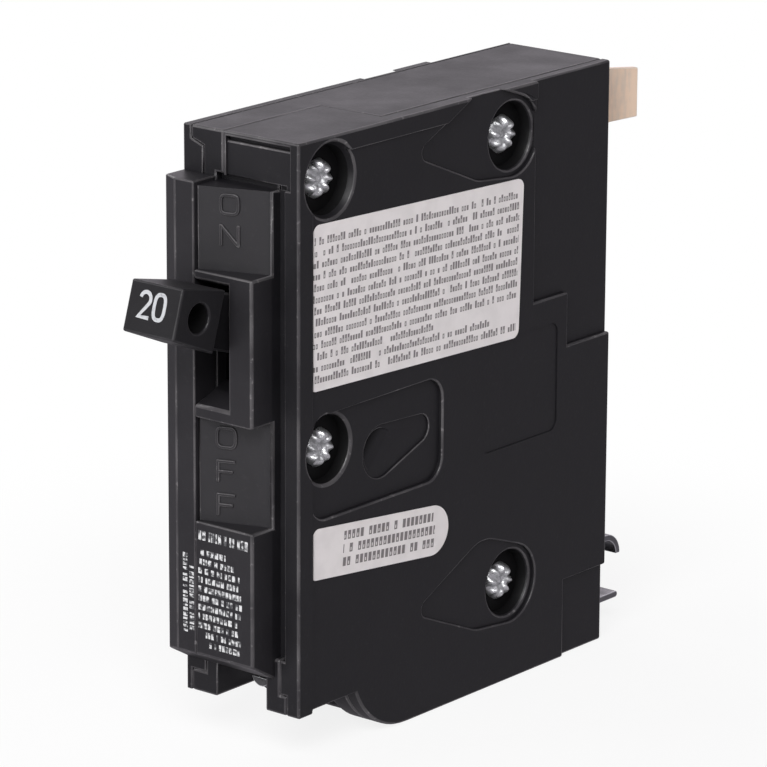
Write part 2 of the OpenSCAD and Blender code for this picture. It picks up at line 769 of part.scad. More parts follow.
// Tension coil from the handle's leg to the arm, drawn as a plain tube with an eye at each end
module toggle_spring() {
  eye_r = spring_pin_r + seat_gap + spring_wire + 0.05;
  neck = eye_r + 1.6;
  hollow = neck + 2 * spring_wire;
  x = (spring_pin_end + leg_x0) / 2;
  lean = handle_tilt + leg_turn;
  from = [pivot_y + leg_l * cos(lean), pivot_z - leg_l * sin(lean)];
  to = [spring_y, arm_z];
  span = norm(to - from);
  rise = atan2(to[1] - from[1], to[0] - from[0]);
  color([0.70, 0.71, 0.73]) in_frame() translate([x, from[0], from[1]]) rotate([rise, 0, 0]) {
    for (y = [0, span]) translate([0, y, 0]) rotate([0, 90, 0])
      rotate_extrude($fn = 32) translate([eye_r, 0]) circle(spring_wire, $fn = 16);
    for (y = [eye_r, span - hollow]) rod_y(0, 0, spring_wire, y, y + hollow - eye_r);
    difference() {
      rod_y(0, 0, spring_coil_r, neck, span - neck);
      rod_y(0, 0, spring_coil_r - 2 * spring_wire, hollow, span - hollow);
    }
  }
}

module trip_lever() {
  x0 = mech_x - trip_t / 2;
  x1 = x0 + trip_t;
  nose_z = armature_z1 + latch_gap;
  nose_y = armature_y + armature_t - latch_overlap;
  tip_y = trip_y + finger_l;
  top_z = trip_z + finger_top;
  color([0.66, 0.67, 0.69]) in_frame() difference() {
    union() {
      rod_x(trip_y, trip_z, trip_hub_r, x0, x1);
      along_x(x0, x1) polygon([[nose_y, nose_z], [trip_y, nose_z], [trip_y, nose_z + 2 * nose_t],
        [nose_y, nose_z + nose_t]]);
      along_x(x0, x1) polygon([[trip_y, trip_z - finger_top], [tip_y, trip_z], [tip_y, top_z], [trip_y, top_z]]);
    }
    rod_x(trip_y, trip_z, pin_r + run_gap, x0 - cut, x1 + cut);
  }
}

module trip_pin() {
  color([0.75, 0.75, 0.77]) in_frame()
    rod_x(trip_y, trip_z, pin_r, seam_l - pin_sink, seam_r + pin_sink);
}

// Torsion coil on the trip pin, drawn as a plain sleeve: one leg hooks under the lever's finger,
// the other lies on the cover's peg
module trip_spring() {
  x0 = mech_x + trip_t / 2 + 0.3;
  hook_y = trip_y + 2 * finger_l / 3;
  color([0.70, 0.71, 0.73]) in_frame() {
    difference() {
      rod_x(trip_y, trip_z, trip_coil_r, x0, seam_r);
      rod_x(trip_y, trip_z, pin_r + 0.3, x0 - cut, seam_r + cut);
    }
    rod_y(x0 + 0.4, trip_leg_z, trip_wire, trip_y, hook_y + trip_wire);
    rod_x(hook_y, trip_leg_z, trip_wire, mech_x - trip_t / 2, x0 + 0.4);
    rod_y(seam_r - peg_l / 2, trip_leg_z, trip_wire, trip_y, trip_y + finger_l);
  }
}

module armature() {
  hub = armature_pin_r + 1;
  color([0.58, 0.59, 0.61]) in_frame() difference() {
    union() {
      block([mech_x - armature_half, mech_x + armature_half], [armature_y, armature_y + armature_t],
        [armature_pin_z, armature_z1]);
      rod_x(armature_pin_y, armature_pin_z, hub, mech_x - armature_half, mech_x + armature_half);
    }
    rod_x(armature_pin_y, armature_pin_z, armature_pin_r + run_gap, seam_l, seam_r);
  }
}

module armature_pin() {
  color([0.75, 0.75, 0.77]) in_frame()
    rod_x(armature_pin_y, armature_pin_z, armature_pin_r, seam_l - pin_sink, seam_r + pin_sink);
}

module magnet_yoke() {
  z = [yoke_z0, yoke_z0 + yoke_h];
  y0 = bimetal_y - yoke_t;
  color([0.50, 0.51, 0.53]) in_frame() {
    block([mech_x - yoke_leg - yoke_t, mech_x + yoke_leg + yoke_t], [y0, bimetal_y], z);
    for (x = [mech_x - yoke_leg - yoke_t, mech_x + yoke_leg]) block([x, x + yoke_t], [y0, yoke_end], z);
  }
}

module bimetal() {
  color([0.72, 0.70, 0.62]) in_frame()
    block([mech_x - bimetal_w / 2, mech_x + bimetal_w / 2], [bimetal_y, bimetal_y + bimetal_t],
      [bimetal_z0, bimetal_z1]);
}

// Braided lead from the bimetal's end to the arm: a tube along a route in one plane
module flexible_lead() {
  start = [bimetal_y + bimetal_t / 2, bimetal_z1];
  finish = [arm_y + lead_reach, arm_under];
  steps = 12;
  sides = 8;
  reach = finish - start;
  route = [for (i = [0:steps]) let (t = i / steps)
    start + [reach[0] * (1 - cos(180 * t)) / 2 - lead_sag * sin(180 * t) * sin(180 * t), reach[1] * t]];
  tangent = [for (i = [0:steps]) (i == 0 || i == steps) ? [0, 1]
    : let (d = route[i + 1] - route[i - 1]) d / norm(d)];
  points = [for (i = [0:steps], k = [0:sides - 1]) let (a = 360 * (k + 0.5) / sides)
    [mech_x + lead_r * cos(a), route[i][0] + lead_r * sin(a) * tangent[i][1],
      route[i][1] - lead_r * sin(a) * tangent[i][0]]];
  walls = [for (i = [0:steps - 1], k = [0:sides - 1], h = [0, 1]) let (a = i * sides + k,
    b = i * sides + (k + 1) % sides) h == 0 ? [a, a + sides, b] : [b, a + sides, b + sides]];
  ends = [[for (k = [0:sides - 1]) k], [for (k = [sides - 1:-1:0]) steps * sides + k]];
  color([0.75, 0.45, 0.30]) in_frame() polyhedron(points, concat(walls, ends));
}

module load_strap() {
  color([0.78, 0.50, 0.34]) in_frame()
    block([bay_x - load_w / 2, bay_x + load_w / 2], [strap_y, strap_y + load_t], [lug_z0 + 0.6, load_z1]);
}

module calibration_screw() {
  head_l = 1.4;
  head_r = calibration_r + 1;
  color([0.72, 0.73, 0.75]) in_frame() difference() {
    union() {
      rod_y(mech_x, calibration_z, calibration_r, calibration_y, strap_y);
      rod_y(mech_x, calibration_z, head_r, calibration_y, calibration_y + head_l);
    }
    block([mech_x - head_r - cut, mech_x + head_r + cut], [calibration_y - cut, calibration_y + slit_w],
      [calibration_z - slit_w / 2, calibration_z + slit_w / 2]);
  }
}

module wire_lug() {
  x = [bay_x - lug_w / 2, bay_x + lug_w / 2];
  color([0.76, 0.77, 0.78]) in_frame() difference() {
    block(x, [lug_y0, lug_y1], [lug_z0, bay_top]);
    translate([bay_x, wire_y, lug_z0 - cut]) cylinder(h = bay_top, r = wire_r);
    rod_y(bay_x, screw_z, screw_r + run_gap, lug_y0 - cut, wire_y);
  }
}

module terminal_screw() {
  color([0.74, 0.75, 0.77]) in_frame() difference() {
    rod_y(bay_x, screw_z, screw_r, screw_y0, pad_y - pad_t);
    block([bay_x - screw_r - cut, bay_x + screw_r + cut], [screw_y0 - cut, screw_y0 + 1.1],
      [screw_z - slit_w / 2, screw_z + slit_w / 2]);
  }
}

module pressure_pad() {
  color([0.70, 0.71, 0.73]) in_frame() rod_y(bay_x, screw_z, pad_r, pad_y - pad_t, pad_y);
}

// Spring clip, seen from the side: a web, a lower prong with a round end and a curled upper prong
module rail_clip() {
  curl = 3.2;
  low_end = clip_end - 0.4 - clip_t / 2;
  color([0.68, 0.69, 0.71]) in_frame() along_x(clip_x - clip_w / 2, clip_x + clip_w / 2) {
    translate([clip_y0, wall]) square([clip_t, clip_z + clip_t - wall]);
    translate([clip_y0, clip_low]) square([low_end - clip_y0, clip_t]);
    translate([low_end, clip_low + clip_t / 2]) circle(clip_t / 2);
    translate([clip_y0, clip_z]) square([clip_end - curl - clip_y0 + 0.01, clip_t]);
    translate([clip_end - curl, clip_z + clip_t - curl]) intersection() {
      difference() {
        circle(curl);
        circle(curl - clip_t);
      }
      square([curl, curl]);
    }
  }
}

module rivets() {
  color([0.78, 0.79, 0.81]) in_frame() for (at = RIVETS) {
    rod_x(at[0], at[1], rivet_r, left_floor - rivet_head_h, recess_floor + rivet_head_h);
    rod_x(at[0], at[1], rivet_head_r, recess_floor, recess_floor + rivet_head_h);
    rod_x(at[0], at[1], rivet_head_r, left_floor - rivet_head_h, left_floor);
  }
}

// Carries a label's outline onto the side panel, cut off straight at the front border
module on_panel() {
  color([0.86, 0.83, 0.84]) in_frame() along_x(label_x, label_x + label_t) intersection() {
    translate([label_y, 0]) square([case_d - label_y, case_h]);
    children();
  }
}

module label_large() {
  on_panel() translate([label_y, large_z]) rotate(-label_turn)
    translate([0, -label_h]) round_square([label_l, label_h], label_round);
}

module label_small() {
  end_r = small_h / 2;
  on_panel() translate([label_y, small_z]) rotate(-small_turn) translate([0, -small_h]) {
    round_square([small_l - end_r, small_h], label_round);
    translate([small_l - end_r - end_r, 0]) square([end_r, small_h]);
    translate([small_l - end_r, end_r]) circle(end_r);
  }
}

left_cover();
centre_housing();
right_cover();
handle();
contact_arm();
moving_contact();
arm_pin();
fixed_contact();
line_terminal();
jaw_spring();
arc_plates();
arc_side_sheets();
toggle_spring();
trip_lever();
trip_pin();
trip_spring();
armature();
armature_pin();
magnet_yoke();
bimetal();
flexible_lead();
load_strap();
calibration_screw();
wire_lug();
terminal_screw();
pressure_pad();
rail_clip();
rivets();
label_large();
label_small();
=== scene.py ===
"""Looks of a single-pole plug-on breaker: case, handle, rivets, labels, metalwork, studio and camera."""

import json
import logging
import math
from abc import ABC, abstractmethod
from collections.abc import Sequence
from dataclasses import dataclass
from enum import Enum
from typing import ClassVar, Optional, Union

import bmesh
import bpy
import numpy as np
from mathutils import Matrix, Vector

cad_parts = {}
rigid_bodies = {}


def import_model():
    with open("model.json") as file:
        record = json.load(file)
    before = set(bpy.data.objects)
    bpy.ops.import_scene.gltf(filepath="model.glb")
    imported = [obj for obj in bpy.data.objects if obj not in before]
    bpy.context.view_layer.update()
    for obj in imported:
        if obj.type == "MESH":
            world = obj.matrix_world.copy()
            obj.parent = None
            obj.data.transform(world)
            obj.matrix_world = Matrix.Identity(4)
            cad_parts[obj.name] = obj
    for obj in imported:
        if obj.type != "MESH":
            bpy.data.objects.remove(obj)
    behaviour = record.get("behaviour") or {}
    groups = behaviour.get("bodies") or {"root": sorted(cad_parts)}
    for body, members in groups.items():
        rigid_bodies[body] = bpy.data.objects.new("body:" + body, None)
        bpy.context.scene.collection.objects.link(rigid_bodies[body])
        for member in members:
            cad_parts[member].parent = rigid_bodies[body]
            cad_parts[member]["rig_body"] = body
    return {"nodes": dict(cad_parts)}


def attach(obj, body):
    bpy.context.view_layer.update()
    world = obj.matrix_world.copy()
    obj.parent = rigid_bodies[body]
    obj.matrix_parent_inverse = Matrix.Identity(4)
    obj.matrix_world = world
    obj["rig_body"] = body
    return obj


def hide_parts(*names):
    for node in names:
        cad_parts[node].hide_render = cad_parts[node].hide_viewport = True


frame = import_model()

logging.basicConfig(level=logging.INFO, format="%(name)s: %(message)s")
LOG = logging.getLogger("breaker")

MM = 0.001
Colour = tuple[float, float, float, float]
Triple = tuple[float, float, float]
Feed = Union["Sock", float, Colour, Triple]

WHITE: Colour = (1, 1, 1, 1)
X_AXIS: Triple = (1.0, 0.0, 0.0)
Z_AXIS: Triple = (0.0, 0.0, 1.0)
DOWN: Triple = (0.0, 0.0, -1.0)
# A dull black film laid over a surface as painted shade, where little light reaches.
PAINTED_SHADE_FILM: dict[str, Union[float, Colour]] = {
    "Base Color": (0.004, 0.004, 0.004, 1),
    "Roughness": 0.85,
    "Specular IOR Level": 0.05,
}
PRINT_RISE = 0.02
BAR_LENGTHS = (0.22, 0.6)
BAR_GAPS = [0.16, 0.18, 0.22, 0.5]
BAR_LEAST = 0.3
OVAL_POINTS = 40
TINY = 1e-12


class Sock:
    """An output socket that joins in arithmetic: each operator adds one Math node."""

    def __init__(self, graph: "Graph", socket: Optional[bpy.types.NodeSocket]) -> None:
        """Keeps the graph and the wrapped socket."""
        self.graph = graph
        self.socket = socket

    def _math(self, operation: str, first: Feed, second: Feed = 0.0) -> "Sock":
        """One Math node on two values."""
        return self.graph.node("ShaderNodeMath", {"operation": operation}, {0: first, 1: second})

    def __add__(self, other: Feed) -> "Sock":
        """This value plus another."""
        return self._math("ADD", self, other)

    def __radd__(self, other: Feed) -> "Sock":
        """Another value plus this one."""
        return self._math("ADD", other, self)

    def __sub__(self, other: Feed) -> "Sock":
        """This value less another."""
        return self._math("SUBTRACT", self, other)

    def __rsub__(self, other: Feed) -> "Sock":
        """Another value less this one."""
        return self._math("SUBTRACT", other, self)

    def __mul__(self, other: Feed) -> "Sock":
        """This value times another."""
        return self._math("MULTIPLY", self, other)

    def __rmul__(self, other: Feed) -> "Sock":
        """Another value times this one."""
        return self._math("MULTIPLY", other, self)

    def __truediv__(self, other: Feed) -> "Sock":
        """This value over another."""
        return self._math("DIVIDE", self, other)

    def __rtruediv__(self, other: Feed) -> "Sock":
        """Another value over this one."""
        return self._math("DIVIDE", other, self)

    def __pow__(self, other: Feed) -> "Sock":
        """This value to a power."""
        return self._math("POWER", self, other)

    def __rpow__(self, other: Feed) -> "Sock":
        """Another value to the power of this one."""
        return self._math("POWER", other, self)

    def __neg__(self) -> "Sock":
        """This value with its sign turned."""
        return self._math("MULTIPLY", self, -1.0)

    def floor(self) -> "Sock":
        """The whole number at or below."""
        return self._math("FLOOR", self)

    def fract(self) -> "Sock":
        """What is over the whole number."""
        return self._math("FRACT", self)

    def above(self, edge: Feed) -> "Sock":
        """1 above the edge and 0 below."""
        return self._math("GREATER_THAN", self, edge)

    def below(self, edge: Feed) -> "Sock":
        """1 below the edge and 0 above."""
        return self._math("LESS_THAN", self, edge)

    def size(self) -> "Sock":
        """This value without its sign."""
        return self._math("ABSOLUTE", self)

    def largest(self, other: Feed) -> "Sock":
        """The larger of two values."""
        return self._math("MAXIMUM", self, other)

    def ramp(self, low: float, high: float) -> "Sock":
        """A smooth step from 0 at low to 1 at high."""
        return self.graph.node(
            "ShaderNodeMapRange",
            {"interpolation_type": "SMOOTHSTEP"},
            {"Value": self, "From Min": low, "From Max": high},
        )


class Graph:
    """A node tree that is written from expressions."""

    def __init__(self, tree: bpy.types.NodeTree) -> None:
        """Starts from an empty tree."""
        self.tree = tree
        tree.nodes.clear()

    def node(
        self,
        kind: str,
        settings: Optional[dict[str, object]] = None,
        feeds: Optional[dict[Union[str, int], Feed]] = None,
        out: Union[str, int] = 0,
    ) -> Sock:
        """Adds one node.

        Args:
            kind: the node's type.
            settings: its own settings, set before any socket.
            feeds: a value or a link for each named socket.
            out: the output that is wanted.
        Returns:
            That output, or an empty wrapper for a node with no output.
        """
        made = self.tree.nodes.new(kind)
        for name, value in (settings or {}).items():
            setattr(made, name, value)
        for key, feed in (feeds or {}).items():
            if isinstance(feed, Sock):
                self.tree.links.new(feed.socket, made.inputs[key])
            else:
                made.inputs[key].default_value = feed
        return Sock(self, made.outputs[out] if len(made.outputs) else None)

    def place(self) -> Sock:
        """The point on the piece in millimetres."""
        metres = self.node("ShaderNodeTexCoord", out="Object")
        return self.node("ShaderNodeVectorMath", {"operation": "SCALE"}, {0: metres, "Scale": 1.0 / MM})

    def stretch(self, vector: Sock, factors: Triple) -> Sock:
        """A vector with each part scaled."""
        return self.node("ShaderNodeVectorMath", {"operation": "MULTIPLY"}, {0: vector, 1: factors})

    def part(self, vector: Sock, axis: str) -> Sock:
        """One part of a vector."""
        return self.node("ShaderNodeSeparateXYZ", feeds={0: vector}, out=axis)

    def noise(self, vector: Sock, scale: float, detail: float = 2.0) -> Sock:
        """Soft noise about 0.5, with scale in cycles for a millimetre."""
        return self.node("ShaderNodeTexNoise", feeds={"Vector": vector, "Scale": scale, "Detail": detail})

    def cells(self, vector: Sock, scale: float) -> Sock:
        """Distance to the nearest of scattered points."""
        return self.node("ShaderNodeTexVoronoi", feeds={"Vector": vector, "Scale": scale})

    def hashed(self, value: Sock) -> Sock:
        """A value from 0 to 1 drawn for each number."""
        return self.node("ShaderNodeTexWhiteNoise", {"noise_dimensions": "1D"}, {"W": value})

    def mix(self, share: Feed, first: Feed, second: Feed) -> Sock:
        """The first colour, with a share of the second."""
        return self.node("ShaderNodeMix", {"data_type": "RGBA"}, {0: share, 6: first, 7: second}, out=2)

    def bump(self, height: Sock, depth: float, strength: float = 1.0) -> Sock:
        """A normal from a height of up to depth millimetres."""
        return self.node(
            "ShaderNodeBump", feeds={"Height": height, "Distance": depth * MM, "Strength": strength}
        )

    def surface(self, painted_shade: Optional[Sock] = None, **feeds: Feed) -> None:
        """Ends the tree in a Principled surface.

        Args:
            painted_shade: the share of a dull black film of painted shade over it, if it has any.
            feeds: its sockets, with underscores for the spaces in their names.
        """
        named = {name.replace("_", " "): feed for name, feed in feeds.items()}
        shader = self.node("ShaderNodeBsdfPrincipled", feeds=named)
        if painted_shade is not None:
            # painted shade: a dull black film mixed over the surface
            film = self.node("ShaderNodeBsdfPrincipled", feeds=PAINTED_SHADE_FILM)
            shader = self.node("ShaderNodeMixShader", feeds={0: painted_shade, 1: shader, 2: film})
        self.node("ShaderNodeOutputMaterial", feeds={"Surface": shader})


@dataclass(frozen=True)
class Finish(ABC):
    """One finish, made into a material when a piece first asks for it."""

    name: str
    slot: str

    @abstractmethod
    def shade(self, graph: Graph) -> None:
        """Writes the material's nodes."""

    def material(self) -> bpy.types.Material:
        """The finish as a material."""
        made = bpy.data.materials.get(self.name)
        if made is None:
            made = bpy.data.materials.new(self.name)
            made.use_nodes = True
            self.shade(Graph(made.node_tree))
        return made


@dataclass(frozen=True)
class PaintedShade:
    """Painted shade in a hole along X: the hole's Y, Z and radius, and the depths in X where it starts and is
    full.
    """

    y: float
    z: float
    radius: float
    start: float
    full: float

    def share(self, graph: Graph, place: Sock) -> Sock:
        """1 within the radius and past the full depth, 0 before the start, on either side."""
        depth = graph.part(place, "X").size()
        dy, dz = graph.part(place, "Y") - self.y, graph.part(place, "Z") - self.z
        return (dy * dy + dz * dz).below(self.radius**2) * (1.0 - depth.ramp(self.full, self.start))


@dataclass(frozen=True)
class Moulded(Finish):
    """Satin moulded plastic with faint flow clouds, fine grain and pale worn specks.

    painted_front_light is the share of the pale colour in front of Y = -front, a painted lightening that stands
    in for light on the boss's front, and painted_shade the dull black film of painted shade in the piece's
    holes.
    COVER is the film's share where the painted shade is full, FRONT_LIGHT_EDGE the millimetres over which the
    painted front light sets in, and CLOUDS, GRAIN and SPECKS are cycles for a millimetre.
    """

    COVER: ClassVar[float] = 0.78
    FRONT_LIGHT_EDGE: ClassVar[float] = 0.4
    CLOUDS: ClassVar[float] = 0.14
    GRAIN: ClassVar[float] = 2.6
    SPECKS: ClassVar[float] = 1.5

    dark: Colour
    pale: Colour
    rub: float
    rough: float
    specular: float = 0.3
    painted_front_light: float = 0.0
    front: float = 33.0
    painted_shade: tuple[PaintedShade, ...] = ()

    def film(self, graph: Graph, place: Sock) -> Optional[Sock]:
        """The share of painted shade over the surface, if there is any."""
        found: Optional[Sock] = None
        for shaded_spot in self.painted_shade:
            share = shaded_spot.share(graph, place)
            found = share if found is None else found.largest(share)
        return None if found is None else found * self.COVER

    def shade(self, graph: Graph) -> None:
        """Clouds and specks lighten the colour and vary the gloss; grain and soft waves lift the surface. In
        front of the boss the colour is also made paler as painted light, and the holes get a film of painted
        shade.
        """
        place = graph.place()
        clouds = graph.noise(place, self.CLOUDS, 3.0)
        grain = graph.noise(place, self.GRAIN, 3.0)
        specks = graph.noise(place, self.SPECKS, 6.0).ramp(0.58, 0.74)
        rubbed_and_lit = (clouds.ramp(0.3, 0.8) * 0.4 + specks * 0.6) * self.rub
        # painted light: in front of Y = -front the colour is made paler, standing in for light on the boss's
        # front
        if self.painted_front_light:
            ahead = -graph.part(place, "Y")
            rubbed_and_lit = rubbed_and_lit + ahead.ramp(self.front, self.front + self.FRONT_LIGHT_EDGE) * self.painted_front_light
        graph.surface(
            self.film(graph, place),
            Base_Color=graph.mix(rubbed_and_lit, self.dark, self.pale),
            Roughness=self.rough + (clouds - 0.5) * 0.24 + (grain - 0.5) * 0.08,
            Specular_IOR_Level=self.specular,
            Normal=graph.bump(grain + clouds * 5.0, 0.02, 0.5),
        )


@dataclass(frozen=True)
class Metal(Finish):
    """Bare or plated metal with drawn lines and stains.

    draw is the lines' cycles for a millimetre along X, Y and Z; tarnish and streak are the shares of the dull
    colour that stains and lines bring. On the copper the lines run long along Z and are strong, partly drawn
    lines and partly painted reflection streaks. STAINS is cycles for a millimetre.
    """

    STAINS: ClassVar[float] = 0.4

    bright: Colour
    dull: Colour
    rough: float
    draw: Triple
    tarnish: float
    metallic: float = 1.0
    streak: float = 0.25

    def shade(self, graph: Graph) -> None:
        """Stretched noise makes the drawn lines, soft noise the stains."""
        place = graph.place()
        lines = graph.noise(graph.stretch(place, self.draw), 1.0, 3.0)
        stain = graph.noise(place, self.STAINS, 4.0).ramp(0.4, 0.75)
        dulled = stain * self.tarnish + (lines - 0.5) * self.streak
        graph.surface(
            Base_Color=graph.mix(dulled, self.bright, self.dull),
            Metallic=self.metallic,
            Roughness=self.rough + (lines - 0.5) * 0.22 + stain * 0.12,
            Normal=graph.bump(lines, 0.012, 0.6),
        )


@dataclass(frozen=True)
class Plated(Finish):
    """Zinc plating with small crystals; CRYSTALS and PATCHES are cycles for a millimetre."""

    CRYSTALS: ClassVar[float] = 2.4
    PATCHES: ClassVar[float] = 1.3

    bright: Colour
    dull: Colour
    rough: float
    metallic: float = 0.85

    def shade(self, graph: Graph) -> None:
        """Cells make the crystals, noise the duller patches between them."""
        place = graph.place()
        crystal = graph.cells(place, self.CRYSTALS)
        patch = graph.noise(place, self.PATCHES, 4.0).ramp(0.42, 0.7)
        graph.surface(
            Base_Color=graph.mix(patch * 0.6 + crystal * 0.3, self.bright, self.dull),
            Metallic=self.metallic,
            Roughness=self.rough + patch * 0.2 + (crystal - 0.4) * 0.2,
            Normal=graph.bump(crystal + patch, 0.03, 0.6),
        )


@dataclass(frozen=True)
class Fibre(Finish):
    """Pressed fibre sheet with a felted grain; ALONG and ACROSS stretch its two sets of streaks."""

    ALONG: ClassVar[Triple] = (1.0, 0.6, 4.0)
    ACROSS: ClassVar[Triple] = (1.0, 4.0, 0.6)

    dark: Colour
    pale: Colour

    def shade(self, graph: Graph) -> None:
        """Two sets of crossing streaks stand for the fibres."""
        place = graph.place()
        along = graph.noise(graph.stretch(place, self.ALONG), 1.0, 4.0)
        across = graph.noise(graph.stretch(place, self.ACROSS), 1.0, 4.0)
        streaks = along.largest(across)
        graph.surface(
            Base_Color=graph.mix(streaks.ramp(0.4, 0.75), self.dark, self.pale),
            Roughness=0.62 + streaks * 0.25,
            Normal=graph.bump(streaks, 0.03, 0.6),
        )


@dataclass(frozen=True)
class Ink(Finish):
    """Pale print, thin in places; spread is the noise at which it starts to thin and is thinnest.

    WEAR is cycles for a millimetre.
    """

    WEAR: ClassVar[float] = 1.8

    full: Colour
    thin: Colour
    spread: tuple[float, float] = (0.5, 0.75)

    def shade(self, graph: Graph) -> None:
        """Noise sets where the print is thin."""
        place = graph.place()
        worn = graph.noise(place, self.WEAR, 4.0)
        graph.surface(
            Base_Color=graph.mix(worn.ramp(*self.spread), self.full, self.thin),
            Roughness=0.5 + worn * 0.2,
            Specular_IOR_Level=0.25,
            Normal=graph.bump(worn, 0.01, 0.5),
        )


@dataclass(frozen=True)
class LabelFilm(Finish):
    """Pale film with rows of letter-sized marks in place of print.

    corner is the label's upper front corner as Y and Z, and turn its tilt in degrees. Rows start first
    millimetres below the top edge and are pitch apart; marks run from left to right along the label, one in
    each step of letter millimetres, and short is the share of them that stays low.

    LOW is how far down its row a low letter starts, TALL how much higher a tall one does, and FOOT where all
    end; STAGGER is the shift of letters from row to row; a letter is there where its drawn number is above
    WORD_GAP, and has a hollow where it is above HOLLOWED; EARLY is the most that a row ends early, and RARE the
    power that makes that rare; DRAWS keep the numbers of two rows apart, and DENSITY is the ink's share.
    """

    LOW: ClassVar[float] = 0.32
    TALL: ClassVar[float] = 0.22
    FOOT: ClassVar[float] = 0.76
    STAGGER: ClassVar[float] = 0.37
    WORD_GAP: ClassVar[float] = 0.15
    HOLLOWED: ClassVar[float] = 0.5
    EARLY: ClassVar[float] = 26.0
    RARE: ClassVar[float] = 9.0
    DRAWS: ClassVar[tuple[float, float]] = (61.0, 83.0)
    DENSITY: ClassVar[float] = 0.86

    paper: Colour
    ink: Colour
    corner: tuple[float, float]
    turn: float
    first: float
    pitch: float
    rows: int
    left: float
    right: float
    letter: float
    short: float

    def shade(self, graph: Graph) -> None:
        """Turns the point into the label's own length and depth, then splits it into rows and letters.

        A number drawn for each letter leaves it out as the end of a word, and another sets its height; a
        number drawn for each row ends a few rows early.
        """
        place = graph.place()
        dy = graph.part(place, "Y") - self.corner[0]
        dz = graph.part(place, "Z") - self.corner[1]
        c, s = math.cos(math.radians(self.turn)), math.sin(math.radians(self.turn))
        along = dy * c - dz * s
        line = (-(dy * s + dz * c) - self.first) / self.pitch
        row, down = line.floor(), line.fract()
        cell = along / self.letter + row * self.STAGGER
        count, across = cell.floor(), cell.fract()
        drawn = graph.hashed(count + row * self.DRAWS[0])
        top = self.LOW - graph.hashed(count + row * self.DRAWS[1] + 0.5).above(self.short) * self.TALL
        end = self.right - graph.hashed(row + 0.25) ** self.RARE * self.EARLY
        in_block = line.above(0.0) * line.below(float(self.rows)) * along.above(self.left) * along.below(end)
        width = across.ramp(0.0, 0.16) * (1.0 - across.ramp(0.7, 0.86))
        body = width * down.above(top) * down.below(self.FOOT)
        inside = across.ramp(0.26, 0.36) * (1.0 - across.ramp(0.46, 0.56))
        hollow = inside * down.above(0.42) * down.below(0.66)
        solid = 1.0 - hollow * drawn.above(self.HOLLOWED)
        print_share = in_block * drawn.above(self.WORD_GAP) * body * solid
        fibre = graph.noise(place, 0.35, 4.0)
        paper = graph.mix(fibre.ramp(0.35, 0.7) * 0.08, self.paper, self.ink)
        graph.surface(
            Base_Color=graph.mix(print_share * self.DENSITY, paper, self.ink),
            Roughness=0.52 + (fibre - 0.5) * 0.2,
            Specular_IOR_Level=0.3,
            Normal=graph.bump(fibre, 0.02, 0.5),
        )


RIVETS = ((-26.35, 75.85), (10.95, 75.05), (-26.05, 40.75), (11.45, 13.55))
# Painted shade: a dull black film down in the rivets' recesses, where little light reaches.
RECESSES = tuple(PaintedShade(y, z, radius=4.5, start=9.1, full=8.3) for y, z in RIVETS)
# Painted shadow: the film in the dish's hollow stands in for the shadow of its steeper wall.
DISH = PaintedShade(-15.45, 38.05, radius=3.1, start=8.16, full=7.88)
# Painted shade: the film in the handle's tie hole, which is dark because the hole is deep.
TIE_HOLE = PaintedShade(-44.04, 60.56, radius=2.0, start=2.9, full=2.3)

# Case plastic with painted shade in its recesses and dish, and a paler boss front as painted light.
CASE = Moulded(
    "case_satin", "case_plastic", (0.0075, 0.0071, 0.0087, 1), (0.021, 0.0196, 0.0225, 1),
    rub=0.5, rough=0.46, painted_front_light=0.5, painted_shade=RECESSES + (DISH,),
)
# Edge finish: worn edges made pale, which also serve as a painted highlight along the outer edges.
CASE_EDGE = Moulded(
    "case_worn_and_painted_highlight_edge", "case_plastic", (0.03, 0.028, 0.031, 1), (0.2, 0.19, 0.195, 1),
    rub=0.85, rough=0.36, specular=0.4,
)
# Handle plastic with painted shade in its tie hole.
HANDLE = Moulded(
    "handle_satin", "handle_plastic", (0.007, 0.0066, 0.0078, 1), (0.02, 0.019, 0.021, 1),
    rub=0.45, rough=0.42, specular=0.22, painted_shade=(TIE_HOLE,),
)
# Handle edges: worn and paler, which also serves as a painted highlight.
HANDLE_EDGE = Moulded(
    "handle_worn_and_painted_highlight_edge", "handle_plastic", (0.014, 0.0133, 0.015, 1), (0.08, 0.077, 0.08, 1),
    rub=0.6, rough=0.4,
)
# Copper: strong lines along Z, partly drawn lines and partly painted reflection streaks.
COPPER = Metal(
    "copper_drawn_with_painted_streaks", "copper", (0.9, 0.69, 0.53, 1), (0.62, 0.55, 0.49, 1),
    rough=0.42, draw=(2.0, 1.5, 0.18), tarnish=0.35, metallic=0.35, streak=1.6,
)
COPPER_EDGE = Metal(
    "copper_edge", "copper", (0.88, 0.74, 0.62, 1), (0.62, 0.46, 0.35, 1),
    rough=0.34, draw=(3.0, 3.0, 3.0), tarnish=0.4, metallic=0.4,
)
SILVER = Metal(
    "silver_face", "silver", (0.84, 0.83, 0.81, 1), (0.5, 0.48, 0.45, 1),
    rough=0.34, draw=(4.0, 4.0, 1.0), tarnish=0.5,
)
ZINC = Plated("zinc_bright", "zinc_steel", (0.72, 0.73, 0.74, 1), (0.3, 0.305, 0.31, 1), rough=0.28)
DULL_ZINC = Plated("zinc_dulled", "zinc_steel", (0.16, 0.16, 0.165, 1), (0.07, 0.07, 0.072, 1), rough=0.45)
SPRING = Metal(
    "spring_steel_drawn", "spring_steel", (0.66, 0.67, 0.69, 1), (0.34, 0.34, 0.35, 1),
    rough=0.3, draw=(5.0, 0.6, 5.0), tarnish=0.5,
)
